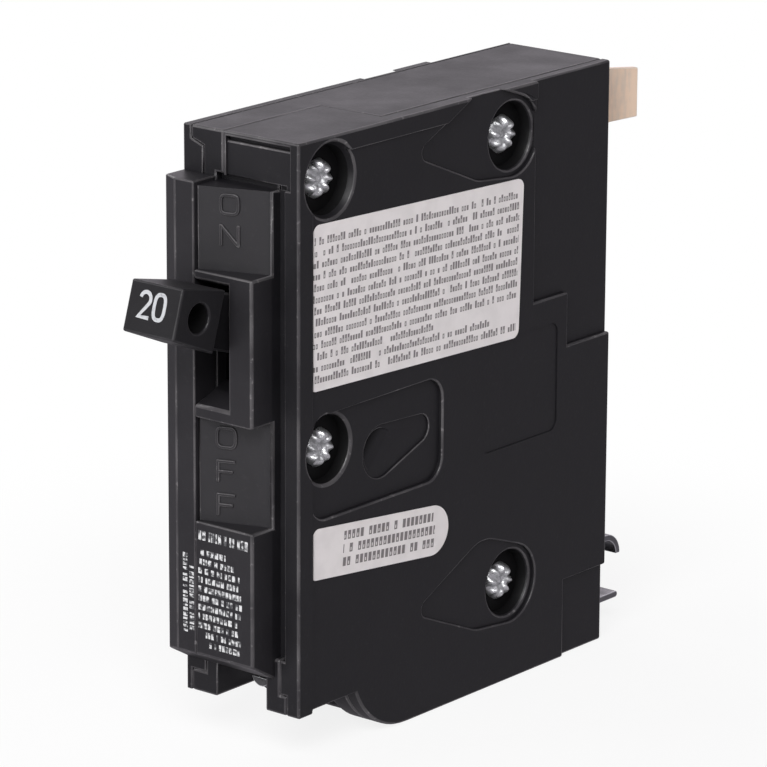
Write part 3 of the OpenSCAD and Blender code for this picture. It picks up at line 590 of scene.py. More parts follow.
# The clip's darker steel is painted shade for its hook, which lies in shade.
CLIP = Metal(
    "spring_steel_with_painted_shade", "spring_steel", (0.2, 0.2, 0.21, 1), (0.1, 0.1, 0.11, 1),
    rough=0.34, draw=(5.0, 0.6, 5.0), tarnish=0.5,
)
SPRING_EDGE = Metal(
    "spring_steel_edge", "spring_steel", (0.8, 0.8, 0.82, 1), (0.5, 0.5, 0.5, 1),
    rough=0.28, draw=(3.0, 3.0, 3.0), tarnish=0.3,
)
MAGNET = Metal(
    "magnet_steel_rolled", "magnet_steel", (0.5, 0.51, 0.53, 1), (0.26, 0.25, 0.25, 1),
    rough=0.4, draw=(4.0, 4.0, 0.6), tarnish=0.6,
)
BIMETAL = Metal(
    "bimetal_rolled", "bimetal", (0.70, 0.66, 0.56, 1), (0.42, 0.36, 0.28, 1),
    rough=0.34, draw=(5.0, 5.0, 0.5), tarnish=0.6,
)
LUG = Metal(
    "lug_tinned", "lug_alloy", (0.77, 0.78, 0.79, 1), (0.45, 0.45, 0.46, 1),
    rough=0.36, draw=(0.8, 4.0, 4.0), tarnish=0.5,
)
FIBRE = Fibre("fibre_sheet", "fibre", (0.34, 0.2, 0.13, 1), (0.56, 0.38, 0.27, 1))
PRINT = Ink("white_print", "label_film", (0.44, 0.447, 0.465, 1), (0.25, 0.25, 0.27, 1))
SMALL_PRINT = Ink(
    "small_white_print", "label_film", (0.55, 0.55, 0.56, 1), (0.07, 0.07, 0.075, 1), spread=(0.42, 0.6)
)


@dataclass(frozen=True)
class EdgeBreak:
    """Small rounding of a piece's outer edges, narrower where there is little room.

    width is in millimetres, and angle the smallest turn between two faces that is rounded. share is how much
    of the room beside an edge the rounding may take, least the smallest part of the width that is still made,
    and slant the angle up to which one edge counts as running on from another.
    """

    width: float = 0.2
    segments: int = 2
    angle: float = 32.0
    share: float = 0.42
    least: float = 0.2
    slant: float = 25.0

    def turns(self, mesh: bpy.types.Mesh, ends: np.ndarray, co: np.ndarray) -> np.ndarray:
        """The turn across each edge.

        Args:
            mesh: the merged mesh.
            ends: the two vertices of each edge.
            co: the vertices' places.
        Returns:
            The angle in radians, positive on an outer edge, 0 where an edge has not two faces.
        """
        loop_edge = read(mesh.loops, "edge_index", 1, np.int32)
        loop_vert = read(mesh.loops, "vertex_index", 1, np.int32)
        totals = read(mesh.polygons, "loop_total", 1, np.int32)
        normals = read(mesh.polygons, "normal", 3, np.float32)
        face = np.repeat(np.arange(len(totals)), totals)
        order = np.argsort(loop_edge, kind="stable")
        count = np.bincount(loop_edge, minlength=len(ends))
        first = np.cumsum(count) - count
        pair = count == 2
        a, b = order[first[pair]], order[first[pair] + 1]
        start = loop_vert[a]
        stop = ends[pair].sum(axis=1) - start
        along = co[stop] - co[start]
        along /= np.maximum(np.linalg.norm(along, axis=1, keepdims=True), TINY)
        n1, n2 = normals[face[a]], normals[face[b]]
        sine = np.einsum("ij,ij->i", np.cross(n1, n2), along)
        found = np.zeros(len(ends))
        found[pair] = np.arctan2(sine, np.einsum("ij,ij->i", n1, n2))
        return found

    def room(self, ends: np.ndarray, co: np.ndarray) -> np.ndarray:
        """The shortest edge that meets each edge's ends across its own direction, in metres."""
        span = co[ends[:, 1]] - co[ends[:, 0]]
        length = np.linalg.norm(span, axis=1)
        unit = span / np.maximum(length, TINY)[:, None]
        half_v, half_e = ends.ravel(), np.repeat(np.arange(len(ends)), 2)
        order = np.argsort(half_v, kind="stable")
        count = np.bincount(half_v, minlength=len(co))
        rank = np.arange(len(half_v)) - np.repeat(np.cumsum(count) - count, count)
        table = np.full((len(co), int(count.max())), -1)
        table[half_v[order], rank] = half_e[order]
        found = np.full(len(ends), np.inf)
        for end in (0, 1):
            near = table[ends[:, end]]
            cosine = np.abs(np.einsum("ijk,ik->ij", unit[near], unit))
            across = (near >= 0) & (cosine < math.cos(math.radians(self.slant)))
            found = np.minimum(found, np.where(across, length[near], np.inf).min(axis=1))
        return found

    def soften(self, obj: bpy.types.Object) -> None:
        """Weights the outer edges by their room and adds the bevel; other sharp edges stay sharp."""
        mesh = obj.data
        co = read(mesh.vertices, "co", 3, np.float32)
        ends = read(mesh.edges, "vertices", 2, np.int32)
        turn = self.turns(mesh, ends, co)
        limit = math.radians(self.angle)
        weight = np.clip(self.share * self.room(ends, co) / (self.width * MM), 0.0, 1.0)
        weight = np.where((turn > limit) & (weight > self.least), weight, 0.0)
        layer = mesh.attributes.new("bevel_weight_edge", "FLOAT", "EDGE")
        layer.data.foreach_set("value", weight.astype(np.float32))
        sharp = mesh.attributes.get("sharp_edge") or mesh.attributes.new("sharp_edge", "BOOLEAN", "EDGE")
        sharp.data.foreach_set("value", (np.abs(turn) > limit) & (weight == 0.0))
        mesh.polygons.foreach_set("use_smooth", np.ones(len(mesh.polygons), bool))
        bevel = obj.modifiers.new("edge_break", "BEVEL")
        bevel.width = self.width * MM
        bevel.segments = self.segments
        bevel.limit_method = "WEIGHT"
        bevel.use_clamp_overlap = False
        bevel.harden_normals = True
        # the bevel strips take the edge finish; on the mouldings it is wear and a painted highlight
        bevel.material = 1


def read(items: bpy.types.bpy_prop_collection, name: str, width: int, kind: type) -> np.ndarray:
    """One property of all items as an array.

    Args:
        items: vertices, edges, loops or polygons.
        name: the property.
        width: how many numbers each item has.
        kind: the array's type.
    Returns:
        One row for each item, or a flat array where width is 1.
    """
    found = np.empty(len(items) * width, kind)
    items.foreach_get(name, found)
    return found.reshape(-1, width) if width > 1 else found


def surface_object(name: str, points: np.ndarray, faces: np.ndarray) -> bpy.types.Object:
    """An object from points in millimetres and four-cornered faces, at the origin and unturned."""
    mesh = bpy.data.meshes.new(name)
    mesh.from_pydata((points * MM).tolist(), [], faces.tolist())
    mesh.validate()
    obj = bpy.data.objects.new(name, mesh)
    bpy.context.scene.collection.objects.link(obj)
    return obj


def grid_faces(rows: int, columns: int, wrap_rows: bool, wrap_columns: bool) -> np.ndarray:
    """The faces between neighbours of a grid of points, row after row.

    Args:
        rows: points along the first parameter.
        columns: points along the second.
        wrap_rows: whether the last row joins the first.
        wrap_columns: whether the last column joins the first.
    Returns:
        Four point numbers for each face.
    """
    i, j = np.meshgrid(
        np.arange(rows if wrap_rows else rows - 1),
        np.arange(columns if wrap_columns else columns - 1),
        indexing="ij",
    )
    k, m = (i + 1) % rows, (j + 1) % columns
    corners = (i * columns + j, k * columns + j, k * columns + m, i * columns + m)
    return np.stack([c.ravel() for c in corners], axis=1)


@dataclass
class SubAssembly(ABC):
    """Pieces that are dressed together.

    MERGE is the distance in millimetres within which points become one, and FLAT the turn in degrees within
    which faces do.
    """

    MERGE: ClassVar[float] = 0.002
    FLAT: ClassVar[float] = 0.3

    @abstractmethod
    def dress(self) -> None:
        """Builds and paints the sub-assembly's pieces."""

    def paint(self, node: str, finish: Finish) -> None:
        """Gives a CAD node its finish as it stands."""
        obj = frame["nodes"][node]
        obj.data.materials.clear()
        obj.data.materials.append(finish.material())
        LOG.info("painted %s with %s", node, finish.name)

    def adopt(self, obj: bpy.types.Object, body: str, finish: Finish, *nodes: str) -> bpy.types.Object:
        """Lets a new piece ride on a body, take its finish if it has no material, and stand for CAD nodes."""
        if not obj.data.materials:
            obj.data.materials.append(finish.material())
        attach(obj, body)
        if nodes:
            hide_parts(*nodes)
        LOG.info("built %s on %s, %d faces", obj.name, body, len(obj.data.polygons))
        return obj

    def cover(self, node: str, finish: Finish, edge: Finish, rounding: EdgeBreak) -> bpy.types.Object:
        """Puts a merged copy with broken edges in a CAD node's place.

        Args:
            node: the CAD node.
            finish: the finish of its faces.
            edge: the finish of its worn edges, which on the mouldings is also a painted highlight.
            rounding: how its edges are broken.
        Returns:
            The copy.
        """
        source = frame["nodes"][node]
        mesh = bpy.data.meshes.new(node + "_dressed")
        work = bmesh.new()
        work.from_mesh(source.data)
        bmesh.ops.remove_doubles(work, verts=work.verts, dist=self.MERGE * MM)
        bmesh.ops.dissolve_limit(
            work, angle_limit=math.radians(self.FLAT), verts=work.verts, edges=work.edges, delimit={"NORMAL"}
        )
        work.to_mesh(mesh)
        work.free()
        spare = mesh.attributes.get("custom_normal")
        if spare is not None:
            mesh.attributes.remove(spare)
        mesh.materials.clear()
        mesh.materials.append(finish.material())
        mesh.materials.append(edge.material())
        mesh.polygons.foreach_set("material_index", np.zeros(len(mesh.polygons), np.int32))
        obj = bpy.data.objects.new(node + "_dressed", mesh)
        bpy.context.scene.collection.objects.link(obj)
        rounding.soften(obj)
        return self.adopt(obj, source["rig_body"], finish, node)


def oval(half_width: float, half_height: float, power: int) -> np.ndarray:
    """The middle line of a round glyph: an ellipse that fills out to its corners as the power rises from 2."""
    t = np.linspace(0.0, 2 * math.pi, OVAL_POINTS, endpoint=False)
    c, s = np.cos(t), np.sin(t)
    bulge = (np.abs(c) ** power + np.abs(s) ** power) ** (-1 / power)
    return np.stack([half_width * bulge * c, 0.5 + half_height * bulge * s], axis=1)


class Glyph(Enum):
    """A plain letter or digit, drawn by strokes in a box one high and centred on its middle line."""

    TWO = "2"
    ZERO = "0"
    O = "O"
    N = "N"
    F = "F"

    def strokes(self) -> list[tuple[np.ndarray, bool]]:
        """The middle lines of its strokes, each with whether it closes on itself."""
        if self is Glyph.ZERO:
            return [(oval(0.225, 0.42, 3), True)]
        if self is Glyph.TWO:
            t = np.linspace(math.radians(170), math.radians(-38), 24)
            bowl = np.stack([0.22 * np.cos(t), 0.69 + 0.23 * np.sin(t)], axis=1)
            return [(np.vstack([bowl, [[-0.2, 0.08], [0.26, 0.08]]]), False)]
        if self is Glyph.O:
            return [(oval(0.42, 0.43, 4), True)]
        if self is Glyph.N:
            return [
                (np.array([[-0.42, 0.0], [-0.42, 1.0]]), False),
                (np.array([[-0.4, 0.94], [0.4, 0.06]]), False),
                (np.array([[0.42, 0.0], [0.42, 1.0]]), False),
            ]
        return [
            (np.array([[-0.38, 0.0], [-0.38, 0.93], [0.4, 0.93]]), False),
            (np.array([[-0.38, 0.48], [0.3, 0.48]]), False),
        ]


@dataclass(frozen=True)
class Relief:
    """Raised strokes on a flat place.

    origin is a point on the place in millimetres, right and up are its directions, stroke is the strokes'
    width, rise how far they stand out and sink how far they go under.
    """

    origin: Triple
    right: Triple
    up: Triple
    stroke: float
    rise: float
    sink: float = 0.02

    def bar(self, path: np.ndarray, closed: bool) -> tuple[np.ndarray, np.ndarray]:
        """A rectangle carried along a line.

        Each point of the line gets four corners: half a stroke to either side of it, at the bottom and at the
        top, with the sides pushed out at a bend so that the stroke keeps its width.

        Args:
            path: the line in the place's own two directions.
            closed: whether its end joins its start.
        Returns:
            The points and the faces.
        """
        ahead = np.roll(path, -1, axis=0) - path
        behind = path - np.roll(path, 1, axis=0)
        if not closed:
            ahead[-1], behind[0] = behind[-1], ahead[0]
        ahead /= np.linalg.norm(ahead, axis=1, keepdims=True)
        behind /= np.linalg.norm(behind, axis=1, keepdims=True)
        middle = ahead + behind
        middle /= np.maximum(np.linalg.norm(middle, axis=1, keepdims=True), 1e-9)
        side = np.stack([-middle[:, 1], middle[:, 0]], axis=1)
        spread = 1.0 / np.maximum(np.einsum("ij,ij->i", middle, ahead), 0.6)
        half = side * (self.stroke / 2 * spread)[:, None]
        right, up = np.array(self.right), np.array(self.up)
        out = np.cross(right, up)
        basis = np.stack([right, up])
        corners = [
            (path + sign * half) @ basis + out * level
            for sign, level in ((-1, -self.sink), (1, -self.sink), (1, self.rise), (-1, self.rise))
        ]
        points = np.stack(corners, axis=1).reshape(-1, 3) + np.array(self.origin)
        faces = grid_faces(len(path), 4, closed, True)
        if not closed:
            last = 4 * (len(path) - 1)
            faces = np.vstack([faces, [[0, 1, 2, 3]], [[last + 3, last + 2, last + 1, last]]])
        return points, faces

    def build(self, name: str, lines: list[tuple[np.ndarray, bool]]) -> bpy.types.Object:
        """All strokes as one object."""
        made = [self.bar(path, closed) for path, closed in lines]
        shifts = np.cumsum([0] + [len(points) for points, _ in made[:-1]])
        points = np.vstack([points for points, _ in made])
        faces = np.vstack([faces + shift for (_, faces), shift in zip(made, shifts)])
        obj = surface_object(name, points, faces)
        work = bmesh.new()
        work.from_mesh(obj.data)
        bmesh.ops.recalc_face_normals(work, faces=work.faces)
        work.to_mesh(obj.data)
        work.free()
        return obj

    def word(
        self, name: str, glyphs: tuple[Glyph, ...], height: float, step: tuple[float, float]
    ) -> bpy.types.Object:
        """A word, centred on the origin.

        Args:
            name: the object's name.
            glyphs: its letters.
            height: the letters' height in millimetres.
            step: the way from a letter to the next, to the right and up.
        Returns:
            The object.
        """
        lines = []
        for i, glyph in enumerate(glyphs):
            middle = (i - (len(glyphs) - 1) / 2) * np.array(step) - [0.0, height / 2]
            lines += [(path * height + middle, closed) for path, closed in glyph.strokes()]
        return self.build(name, lines)

    def rows(
        self, name: str, widths: Sequence[float], pitch: float, left: Sequence[float], seed: int
    ) -> bpy.types.Object:
        """Rows of letter-sized bars in place of print, from the origin downwards.

        Args:
            name: the object's name.
            widths: how long each row is.
            pitch: the step from a row to the next.
            left: where each row starts.
            seed: sets the lengths of the bars.
        Returns:
            The object.
        """
        draw = np.random.default_rng(seed)
        lines = []
        for i, (start, width) in enumerate(zip(left, widths)):
            at, down = 0.0, -i * pitch
            while at < width - BAR_LEAST:
                length = min(float(draw.uniform(*BAR_LENGTHS)), width - at)
                lines.append((np.array([[start + at, down], [start + at + length, down]]), False))
                at += length + float(draw.choice(BAR_GAPS))
        return self.build(name, lines)


@dataclass
class RivetHeads(SubAssembly):
    """The two ends of four tubular rivets.

    places are their Y and Z, radius the head's, height how far it stands out; clinched is the floor that the
    rolled end sits on, formed the one under the made head. RING is the rolled ring's middle and half width as
    shares of the radius, TWIST the lean of its lobes, NOTCH how deep they are cut, CORE the height and width of
    the middle, and FOOT what all of it is raised by.
    """

    RING: ClassVar[tuple[float, float]] = (0.6, 0.4)
    TWIST: ClassVar[float] = 1.4
    NOTCH: ClassVar[float] = 0.55
    CORE: ClassVar[tuple[float, float]] = (0.42, 0.3)
    FOOT: ClassVar[float] = 0.04

    places: tuple[tuple[float, float], ...] = RIVETS
    radius: float = 2.62
    height: float = 1.26
    clinched: float = 6.925
    formed: float = -7.525
    lobes: int = 8

    @staticmethod
    def disc(rings: int, spokes: int) -> Sequence[np.ndarray]:
        """Radius from 0 to 1 and angle all round, as two grids."""
        around = np.linspace(0.0, 2 * math.pi, spokes, endpoint=False)
        return np.meshgrid(np.linspace(0.0, 1.0, rings), around, indexing="ij")

    def rolled(self) -> tuple[np.ndarray, np.ndarray, np.ndarray]:
        """Rolled end: over radius and angle, a ring raised as a parabola round a sunk middle, cut into lobes.

        The lobes are a cosine of the angle, which deepens towards the rim.
        """
        r, t = self.disc(26, 96)
        ring = np.clip(1.0 - ((r - self.RING[0]) / self.RING[1]) ** 2, 0.0, 1.0)
        lobes = 0.5 + 0.5 * np.cos(self.lobes * t + self.TWIST * r)
        cut = 1.0 - self.NOTCH * (1.0 - lobes) * np.clip((r - 0.25) / 0.4, 0.0, 1.0)
        middle = self.CORE[0] * np.clip(1.0 - (r / self.CORE[1]) ** 2, 0.0, 1.0)
        rise = np.maximum(ring * cut, middle) + self.FOOT
        reach = self.radius * r * (1.0 - 0.05 * (1.0 - lobes) * r)
        return reach * np.cos(t), reach * np.sin(t), rise / 1.05 * self.height

    def domed(self) -> tuple[np.ndarray, np.ndarray, np.ndarray]:
        """Made head: over radius and angle, a low dome that falls off as a fourth power."""
        r, t = self.disc(20, 64)
        reach = self.radius * r
        return reach * np.cos(t), reach * np.sin(t), self.height * (0.25 + 0.75 * (1.0 - r**4))

    def dress(self) -> None:
        """Sets a rolled end and a made head at each place, as one piece."""
        points, faces, shift = [], [], 0
        ends = ((self.rolled(), self.clinched, 1.0), (self.domed(), self.formed, -1.0))
        for (a, b, rise), floor, way in ends:
            head = grid_faces(*a.shape, False, True)
            head = head if way > 0 else head[:, ::-1]
            for y, z in self.places:
                points.append(np.stack([floor + way * rise, y + a, z + b], axis=-1).reshape(-1, 3))
                faces.append(head + shift)
                shift += a.size
        obj = surface_object("rivet_heads", np.vstack(points), np.vstack(faces))
        obj.data.polygons.foreach_set("use_smooth", np.ones(len(obj.data.polygons), bool))
        self.adopt(obj, "case", ZINC, "rivets")


@dataclass(frozen=True)
class RampWord:
    """A raised word on a ramp, one letter under the other.

    x and z are its middle, height its letters' and drop the step from a letter to the next.
    """

    name: str
    glyphs: tuple[Glyph, ...]
    x: float
    z: float
    height: float
    drop: float


@dataclass(frozen=True)
class PrintBlock:
    """Rows of bars on the boss's face in place of print.

    x and z are where the first row starts, right and up its directions, stroke the bars' height, pitch the step
    between rows, widths and left each row's length and start, and seed sets the bars' lengths.
    """

    name: str
    x: float
    z: float
    right: Triple
    up: Triple
    stroke: float
    pitch: float
    widths: tuple[float, ...]
    left: tuple[float, ...]
    seed: int


@dataclass
class Casing(SubAssembly):
    """Three mouldings, with raised words on the boss and rows of bars where print would be.

    ramp_low and ramp_high are the ramp's two edges as X and Y; front is the Y of the boss's face. prints are a
    wide row and eleven small ones on the lower block, and two columns on the rib beside it.
    """

    left_break: float = 0.22
    left_angle: float = 18.0
    centre_break: float = 0.36
    right_break: float = 0.32
    letter_break: float = 0.13
    letter_stroke: float = 0.42
    letter_rise: float = 0.26
    ramp_low: tuple[float, float] = (-4.1, -36.45)
    ramp_high: tuple[float, float] = (5.5, -33.05)
    front: float = -37.05
    raised: tuple[RampWord, ...] = (
        RampWord("on_word", (Glyph.O, Glyph.N), 0.14, 70.98, 2.8, 4.0),
        RampWord("off_word", (Glyph.O, Glyph.F, Glyph.F), -0.4, 38.2, 3.0, 4.43),
    )
    prints: tuple[PrintBlock, ...] = (
        PrintBlock("head_bars", 0.0, 29.6, X_AXIS, Z_AXIS, 1.25, 1.5, (8.3,), (-3.55,), 7),
        PrintBlock(
            "block_bars", 0.0, 27.3, X_AXIS, Z_AXIS, 0.78, 1.22,
            (4.6, 6.2, 7.2, 6.8, 7.4, 7.6, 7.2, 6.8, 7.0, 6.2, 5.4),
            (-3.2, -3.4, -3.6, -3.6, -3.6, -3.6, -3.6, -3.6, -3.6, -2.4, -1.8),
            9,
        ),
        PrintBlock("rib_bars", -4.75, 26.75, DOWN, X_AXIS, 0.76, 1.1, (9.0, 10.6), (1.6, 0.0), 11),
    )

    def ramp_point(self, x: float, z: float) -> Triple:
        """The point of the ramp at X and Z."""
        (x0, y0), (x1, y1) = self.ramp_low, self.ramp_high
        return x, y0 + (x - x0) * (y1 - y0) / (x1 - x0), z

    def words(self) -> None:
        """Raises the two words on the ramps."""
        across = np.array(self.ramp_high) - np.array(self.ramp_low)
        across = across / np.linalg.norm(across)
        right = (float(across[0]), float(across[1]), 0.0)
        for word in self.raised:
            place = self.ramp_point(word.x, word.z)
            relief = Relief(place, right, Z_AXIS, self.letter_stroke, self.letter_rise)
            obj = relief.word(word.name, word.glyphs, word.height, (0.0, -word.drop))
            obj.data.materials.append(CASE.material())
            # the letters' bevels take the paler edge finish, which is wear and a painted highlight
            obj.data.materials.append(CASE_EDGE.material())
            EdgeBreak(self.letter_break).soften(obj)
            self.adopt(obj, "case", CASE)

    def bars(self) -> None:
        """Lays the rows of pale bars on the boss's face."""
        for block in self.prints:
            relief = Relief((block.x, self.front, block.z), block.right, block.up, block.stroke, PRINT_RISE)
            rows = relief.rows(block.name, block.widths, block.pitch, block.left, block.seed)
            self.adopt(rows, "case", SMALL_PRINT)

    def dress(self) -> None:
        """Covers the mouldings and adds words and bars."""
        self.cover("left_cover", CASE, CASE_EDGE, EdgeBreak(self.left_break, angle=self.left_angle))
        self.cover("centre_housing", CASE, CASE_EDGE, EdgeBreak(self.centre_break))
        self.cover("right_cover", CASE, CASE_EDGE, EdgeBreak(self.right_break))
        self.words()
        self.bars()


@dataclass
class HandleGroup(SubAssembly):
    """The rocker with its painted number on the end face, which is tilted up."""

    break_width: float = 0.28
    centre: Triple = (-1.45, -47.765, 62.205)
    tilt: float = 17.5
    number_height: float = 3.75
    number_advance: float = 2.42
    number_stroke: float = 0.5
    number_rise: float = 0.03

    def dress(self) -> None:
        """Covers the rocker and paints the number."""
        self.cover("handle", HANDLE, HANDLE_EDGE, EdgeBreak(self.break_width, 3))
        up = (0.0, math.sin(math.radians(self.tilt)), math.cos(math.radians(self.tilt)))
        relief = Relief(self.centre, X_AXIS, up, self.number_stroke, self.number_rise)
        digits, step = (Glyph.TWO, Glyph.ZERO), (self.number_advance, 0.0)
        number = relief.word("number", digits, self.number_height, step)
        self.adopt(number, "handle", PRINT)


@dataclass
class Labels(SubAssembly):
    """Two film labels on the right side, their corners in Y and Z."""

    large_corner: tuple[float, float] = (-29.60, 70.65)
    large_turn: float = 2.1
    small_corner: tuple[float, float] = (-29.60, 31.0)
    small_turn: float = 6.0
    paper: Colour = (0.80, 0.755, 0.76, 1)
    ink: Colour = (0.1, 0.085, 0.09, 1)

    def dress(self) -> None:
        """Paints both labels with rows of marks."""
        large = LabelFilm(
            "label_large_film", "label_film", self.paper, self.ink, self.large_corner, self.large_turn,
            first=1.42, pitch=1.49, rows=13, left=0.15, right=42.0, letter=0.52, short=0.62,
        )
        small = LabelFilm(
            "label_small_film", "label_film", self.paper, self.ink, self.small_corner, self.small_turn,
            first=0.75, pitch=1.75, rows=3, left=6.2, right=25.0, letter=0.86, short=0.0,
        )
        self.paint("label_large", large)
        self.paint("label_small", small)


@dataclass(frozen=True)
class Covering:
    """CAD nodes that get the same face, worn edge and width of edge in millimetres."""

    face: Finish
    edge: Finish
    width: float
    nodes: tuple[str, ...]


@dataclass
class Metalwork(SubAssembly):
    """Inner pieces: the stiff ones are covered, the springs and the lead painted as they stand."""

    covered: tuple[Covering, ...]
    painted: tuple[tuple[str, Finish], ...] = ()

    def dress(self) -> None:
        """Covers and paints the pieces."""
        for group in self.covered:
            for node in group.nodes:
                self.cover(node, group.face, group.edge, EdgeBreak(group.width))
        for node, finish in self.painted:
            self.paint(node, finish)


# Jaw and strap, their spring, the contacts and the arc chute.
LINE_SIDE = Metalwork(
    (
        Covering(COPPER, COPPER_EDGE, 0.16, ("line_terminal", "contact_arm")),
        Covering(SPRING, SPRING_EDGE, 0.12, ("jaw_spring",)),
        Covering(MAGNET, SPRING_EDGE, 0.12, ("arc_plates",)),
        Covering(FIBRE, FIBRE, 0.12, ("arc_side_sheets",)),
        Covering(SILVER, SILVER, 0.16, ("moving_contact", "fixed_contact")),
        Covering(ZINC, ZINC, 0.12, ("arm_pin",)),
    )
)
# Latch lever, armature, yoke, bimetal, their pins and springs, and the lead.
TRIP_UNIT = Metalwork(
    (
        Covering(ZINC, ZINC, 0.14, ("trip_lever", "trip_pin", "armature_pin", "calibration_screw")),
        Covering(MAGNET, SPRING_EDGE, 0.14, ("armature", "magnet_yoke")),
        Covering(BIMETAL, SPRING_EDGE, 0.14, ("bimetal",)),
    ),
    (("toggle_spring", SPRING), ("trip_spring", SPRING), ("flexible_lead", COPPER)),
)
# Strap, lug, pad and clamping screw, and the clip at the foot.
LOAD_SIDE = Metalwork(
    (
        Covering(COPPER, COPPER_EDGE, 0.16, ("load_strap",)),
        Covering(LUG, SPRING_EDGE, 0.16, ("wire_lug",)),
        Covering(ZINC, ZINC, 0.16, ("pressure_pad",)),
        Covering(DULL_ZINC, ZINC, 0.16, ("terminal_screw",)),
        # the clip's dark steel is painted shade
        Covering(CLIP, SPRING, 0.12, ("rail_clip",)),
    )
)


@dataclass(frozen=True)
class Lamp:
    """A soft rectangular light that points at the object."""

    name: str
    place: Triple
    size: tuple[float, float]
    watts: float
    colour: Triple = (1.0, 1.0, 1.0)

    def hang(self, target: Triple) -> None:
        """Adds the light to the scene."""
        data = bpy.data.lights.new(self.name, "AREA")
        data.shape = "RECTANGLE"
        data.size, data.size_y = self.size
        data.energy = self.watts
        data.color = self.colour
        obj = bpy.data.objects.new(self.name, data)
        obj.location = self.place
        obj.rotation_euler = (Vector(target) - Vector(self.place)).to_track_quat("-Z", "Y").to_euler()
        obj.visible_camera = False
        bpy.context.scene.collection.objects.link(obj)
        LOG.info("hung %s", self.name)


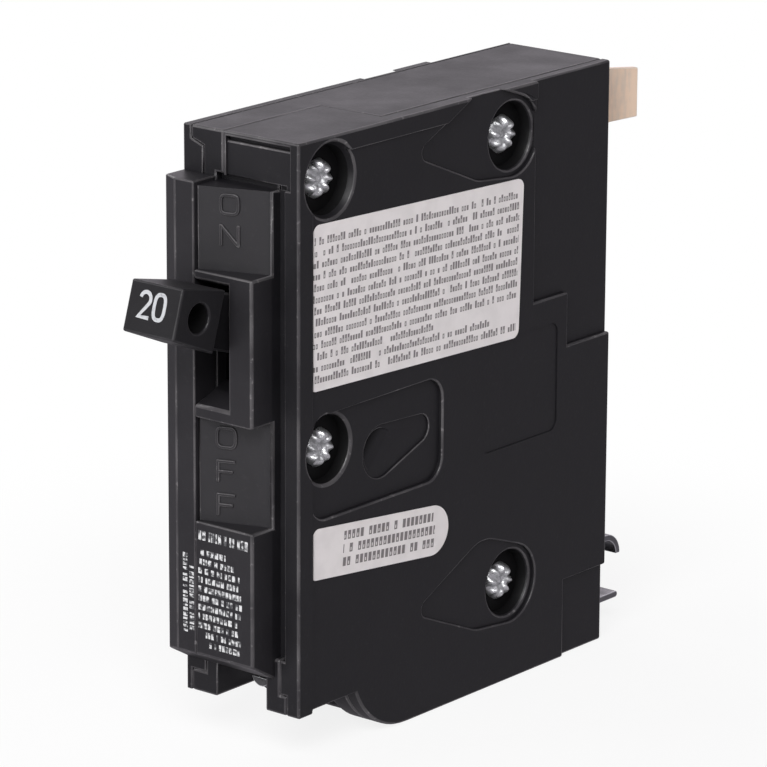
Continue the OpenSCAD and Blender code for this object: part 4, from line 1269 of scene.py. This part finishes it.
@dataclass
class Studio:
    """Pale floor, soft lamps, white surroundings and the camera of the photograph.

    eye, look and roll place the camera, and clip is its nearest and farthest sight; sky and gloss are the
    surroundings' levels for diffuse and mirror rays, tint is their colour, lift the share of white that the
    camera sees in the floor, and fade the millimetres from the object over which that share becomes full.
    paper is the floor's two tones, and floor_points the points along each of its sides.
    """

    eye: Triple = (0.37944, -0.46877, 0.21358)
    look: Triple = (-0.6086, 0.7449, -0.2734)
    roll: float = 0.279
    lens: float = 223.26
    sensor: float = 36.0
    clip: tuple[float, float] = (0.01, 20.0)
    sky: float = 0.05
    gloss: float = 0.4
    tint: Colour = (1.0, 0.95, 1.03, 1)
    lift: float = 0.84
    fade: tuple[float, float] = (45.0, 125.0)
    paper: tuple[Colour, Colour] = ((0.93, 0.93, 0.93, 1), (0.97, 0.97, 0.97, 1))
    floor_points: int = 9
    floor_half: float = 2.5
    floor_drop: float = 0.00005
    target: Triple = (0.0, 0.0, 0.04)
    lamps: tuple[Lamp, ...] = (
        Lamp("key_lamp", (0.62, -0.95, 1.05), (0.9, 0.7), 20.0),
        Lamp("left_front_lamp", (-0.9, -0.9, 0.8), (0.8, 0.8), 5.0),
        Lamp("left_lamp", (-1.2, 0.3, 0.45), (0.8, 0.6), 5.0),
        Lamp("front_lamp", (0.15, -1.3, 0.2), (0.8, 0.4), 6.8),
        Lamp("back_lamp", (-0.62, 0.98, 0.52), (1.3, 0.6), 2.3, (1.0, 0.93, 1.0)),
    )

    def camera(self) -> None:
        """Sets the camera where the photograph was taken from."""
        ahead = Vector(self.look).normalized()
        right = ahead.cross(Vector(Z_AXIS)).normalized()
        up = right.cross(ahead)
        c, s = math.cos(math.radians(self.roll)), math.sin(math.radians(self.roll))
        right, up = c * right + s * up, c * up - s * right
        turn = Matrix((right, up, -ahead)).transposed().to_4x4()
        data = bpy.data.cameras.new("camera")
        data.lens = self.lens
        data.sensor_width = self.sensor
        data.clip_start, data.clip_end = self.clip
        obj = bpy.data.objects.new("camera", data)
        obj.matrix_world = Matrix.Translation(self.eye) @ turn
        bpy.context.scene.collection.objects.link(obj)
        bpy.context.scene.camera = obj

    def floor(self) -> None:
        """A flat grid under the object, over two straight parameters.

        The camera sees a share of white in it, and mirror rays see it dim.
        """
        side = np.linspace(-1, 1, self.floor_points)
        u, v = np.meshgrid(side, side, indexing="ij")
        half = self.floor_half / MM
        flat = np.full(u.shape, -self.floor_drop / MM)
        points = np.stack([u * half, v * half, flat], axis=-1).reshape(-1, 3)
        obj = surface_object("floor", points, grid_faces(*u.shape, False, False))
        paint = bpy.data.materials.new("floor_paper")
        paint.use_nodes = True
        graph = Graph(paint.node_tree)
        place = graph.place()
        tooth = graph.noise(place, 0.02, 3.0)
        far = graph.node("ShaderNodeVectorMath", {"operation": "LENGTH"}, {0: place}, "Value").ramp(*self.fade)
        paper = graph.node("ShaderNodeBsdfDiffuse", feeds={"Color": graph.mix(tooth, *self.paper)})
        white = graph.node("ShaderNodeEmission", feeds={"Color": WHITE, "Strength": 1.0})
        seen = graph.node("ShaderNodeLightPath", out="Is Camera Ray")
        share = seen * (self.lift + far * (1.0 - self.lift))
        lifted = graph.node("ShaderNodeMixShader", feeds={0: share, 1: paper, 2: white})
        dim = graph.node("ShaderNodeEmission", feeds={"Color": self.tint, "Strength": self.gloss})
        glossy = graph.node("ShaderNodeLightPath", out="Is Glossy Ray")
        shader = graph.node("ShaderNodeMixShader", feeds={0: glossy, 1: lifted, 2: dim})
        graph.node("ShaderNodeOutputMaterial", feeds={"Surface": shader})
        obj.data.materials.append(paint)

    def surroundings(self) -> None:
        """White to the camera, softer to the object."""
        world = bpy.data.worlds.new("surroundings")
        world.use_nodes = True
        graph = Graph(world.node_tree)
        seen = graph.node("ShaderNodeLightPath", out="Is Camera Ray")
        mirrored = graph.node("ShaderNodeLightPath", out="Is Glossy Ray")
        level = seen + (1.0 - seen) * (mirrored * self.gloss + (1.0 - mirrored) * self.sky)
        shade = graph.mix(seen, self.tint, WHITE)
        light = graph.node("ShaderNodeBackground", feeds={"Color": shade, "Strength": level})
        graph.node("ShaderNodeOutputWorld", feeds={"Surface": light})
        bpy.context.scene.world = world

    def build(self) -> None:
        """Sets up everything round the object."""
        bpy.context.scene.view_settings.view_transform = "Standard"
        self.camera()
        self.floor()
        self.surroundings()
        for lamp in self.lamps:
            lamp.hang(self.target)


def main() -> None:
    """Dresses the object and sets the studio."""
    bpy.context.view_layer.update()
    groups = (Casing(), HandleGroup(), RivetHeads(), Labels(), LINE_SIDE, TRIP_UNIT, LOAD_SIDE)
    for group in groups:
        group.dress()
    Studio().build()


if __name__ == "__main__":
    main()
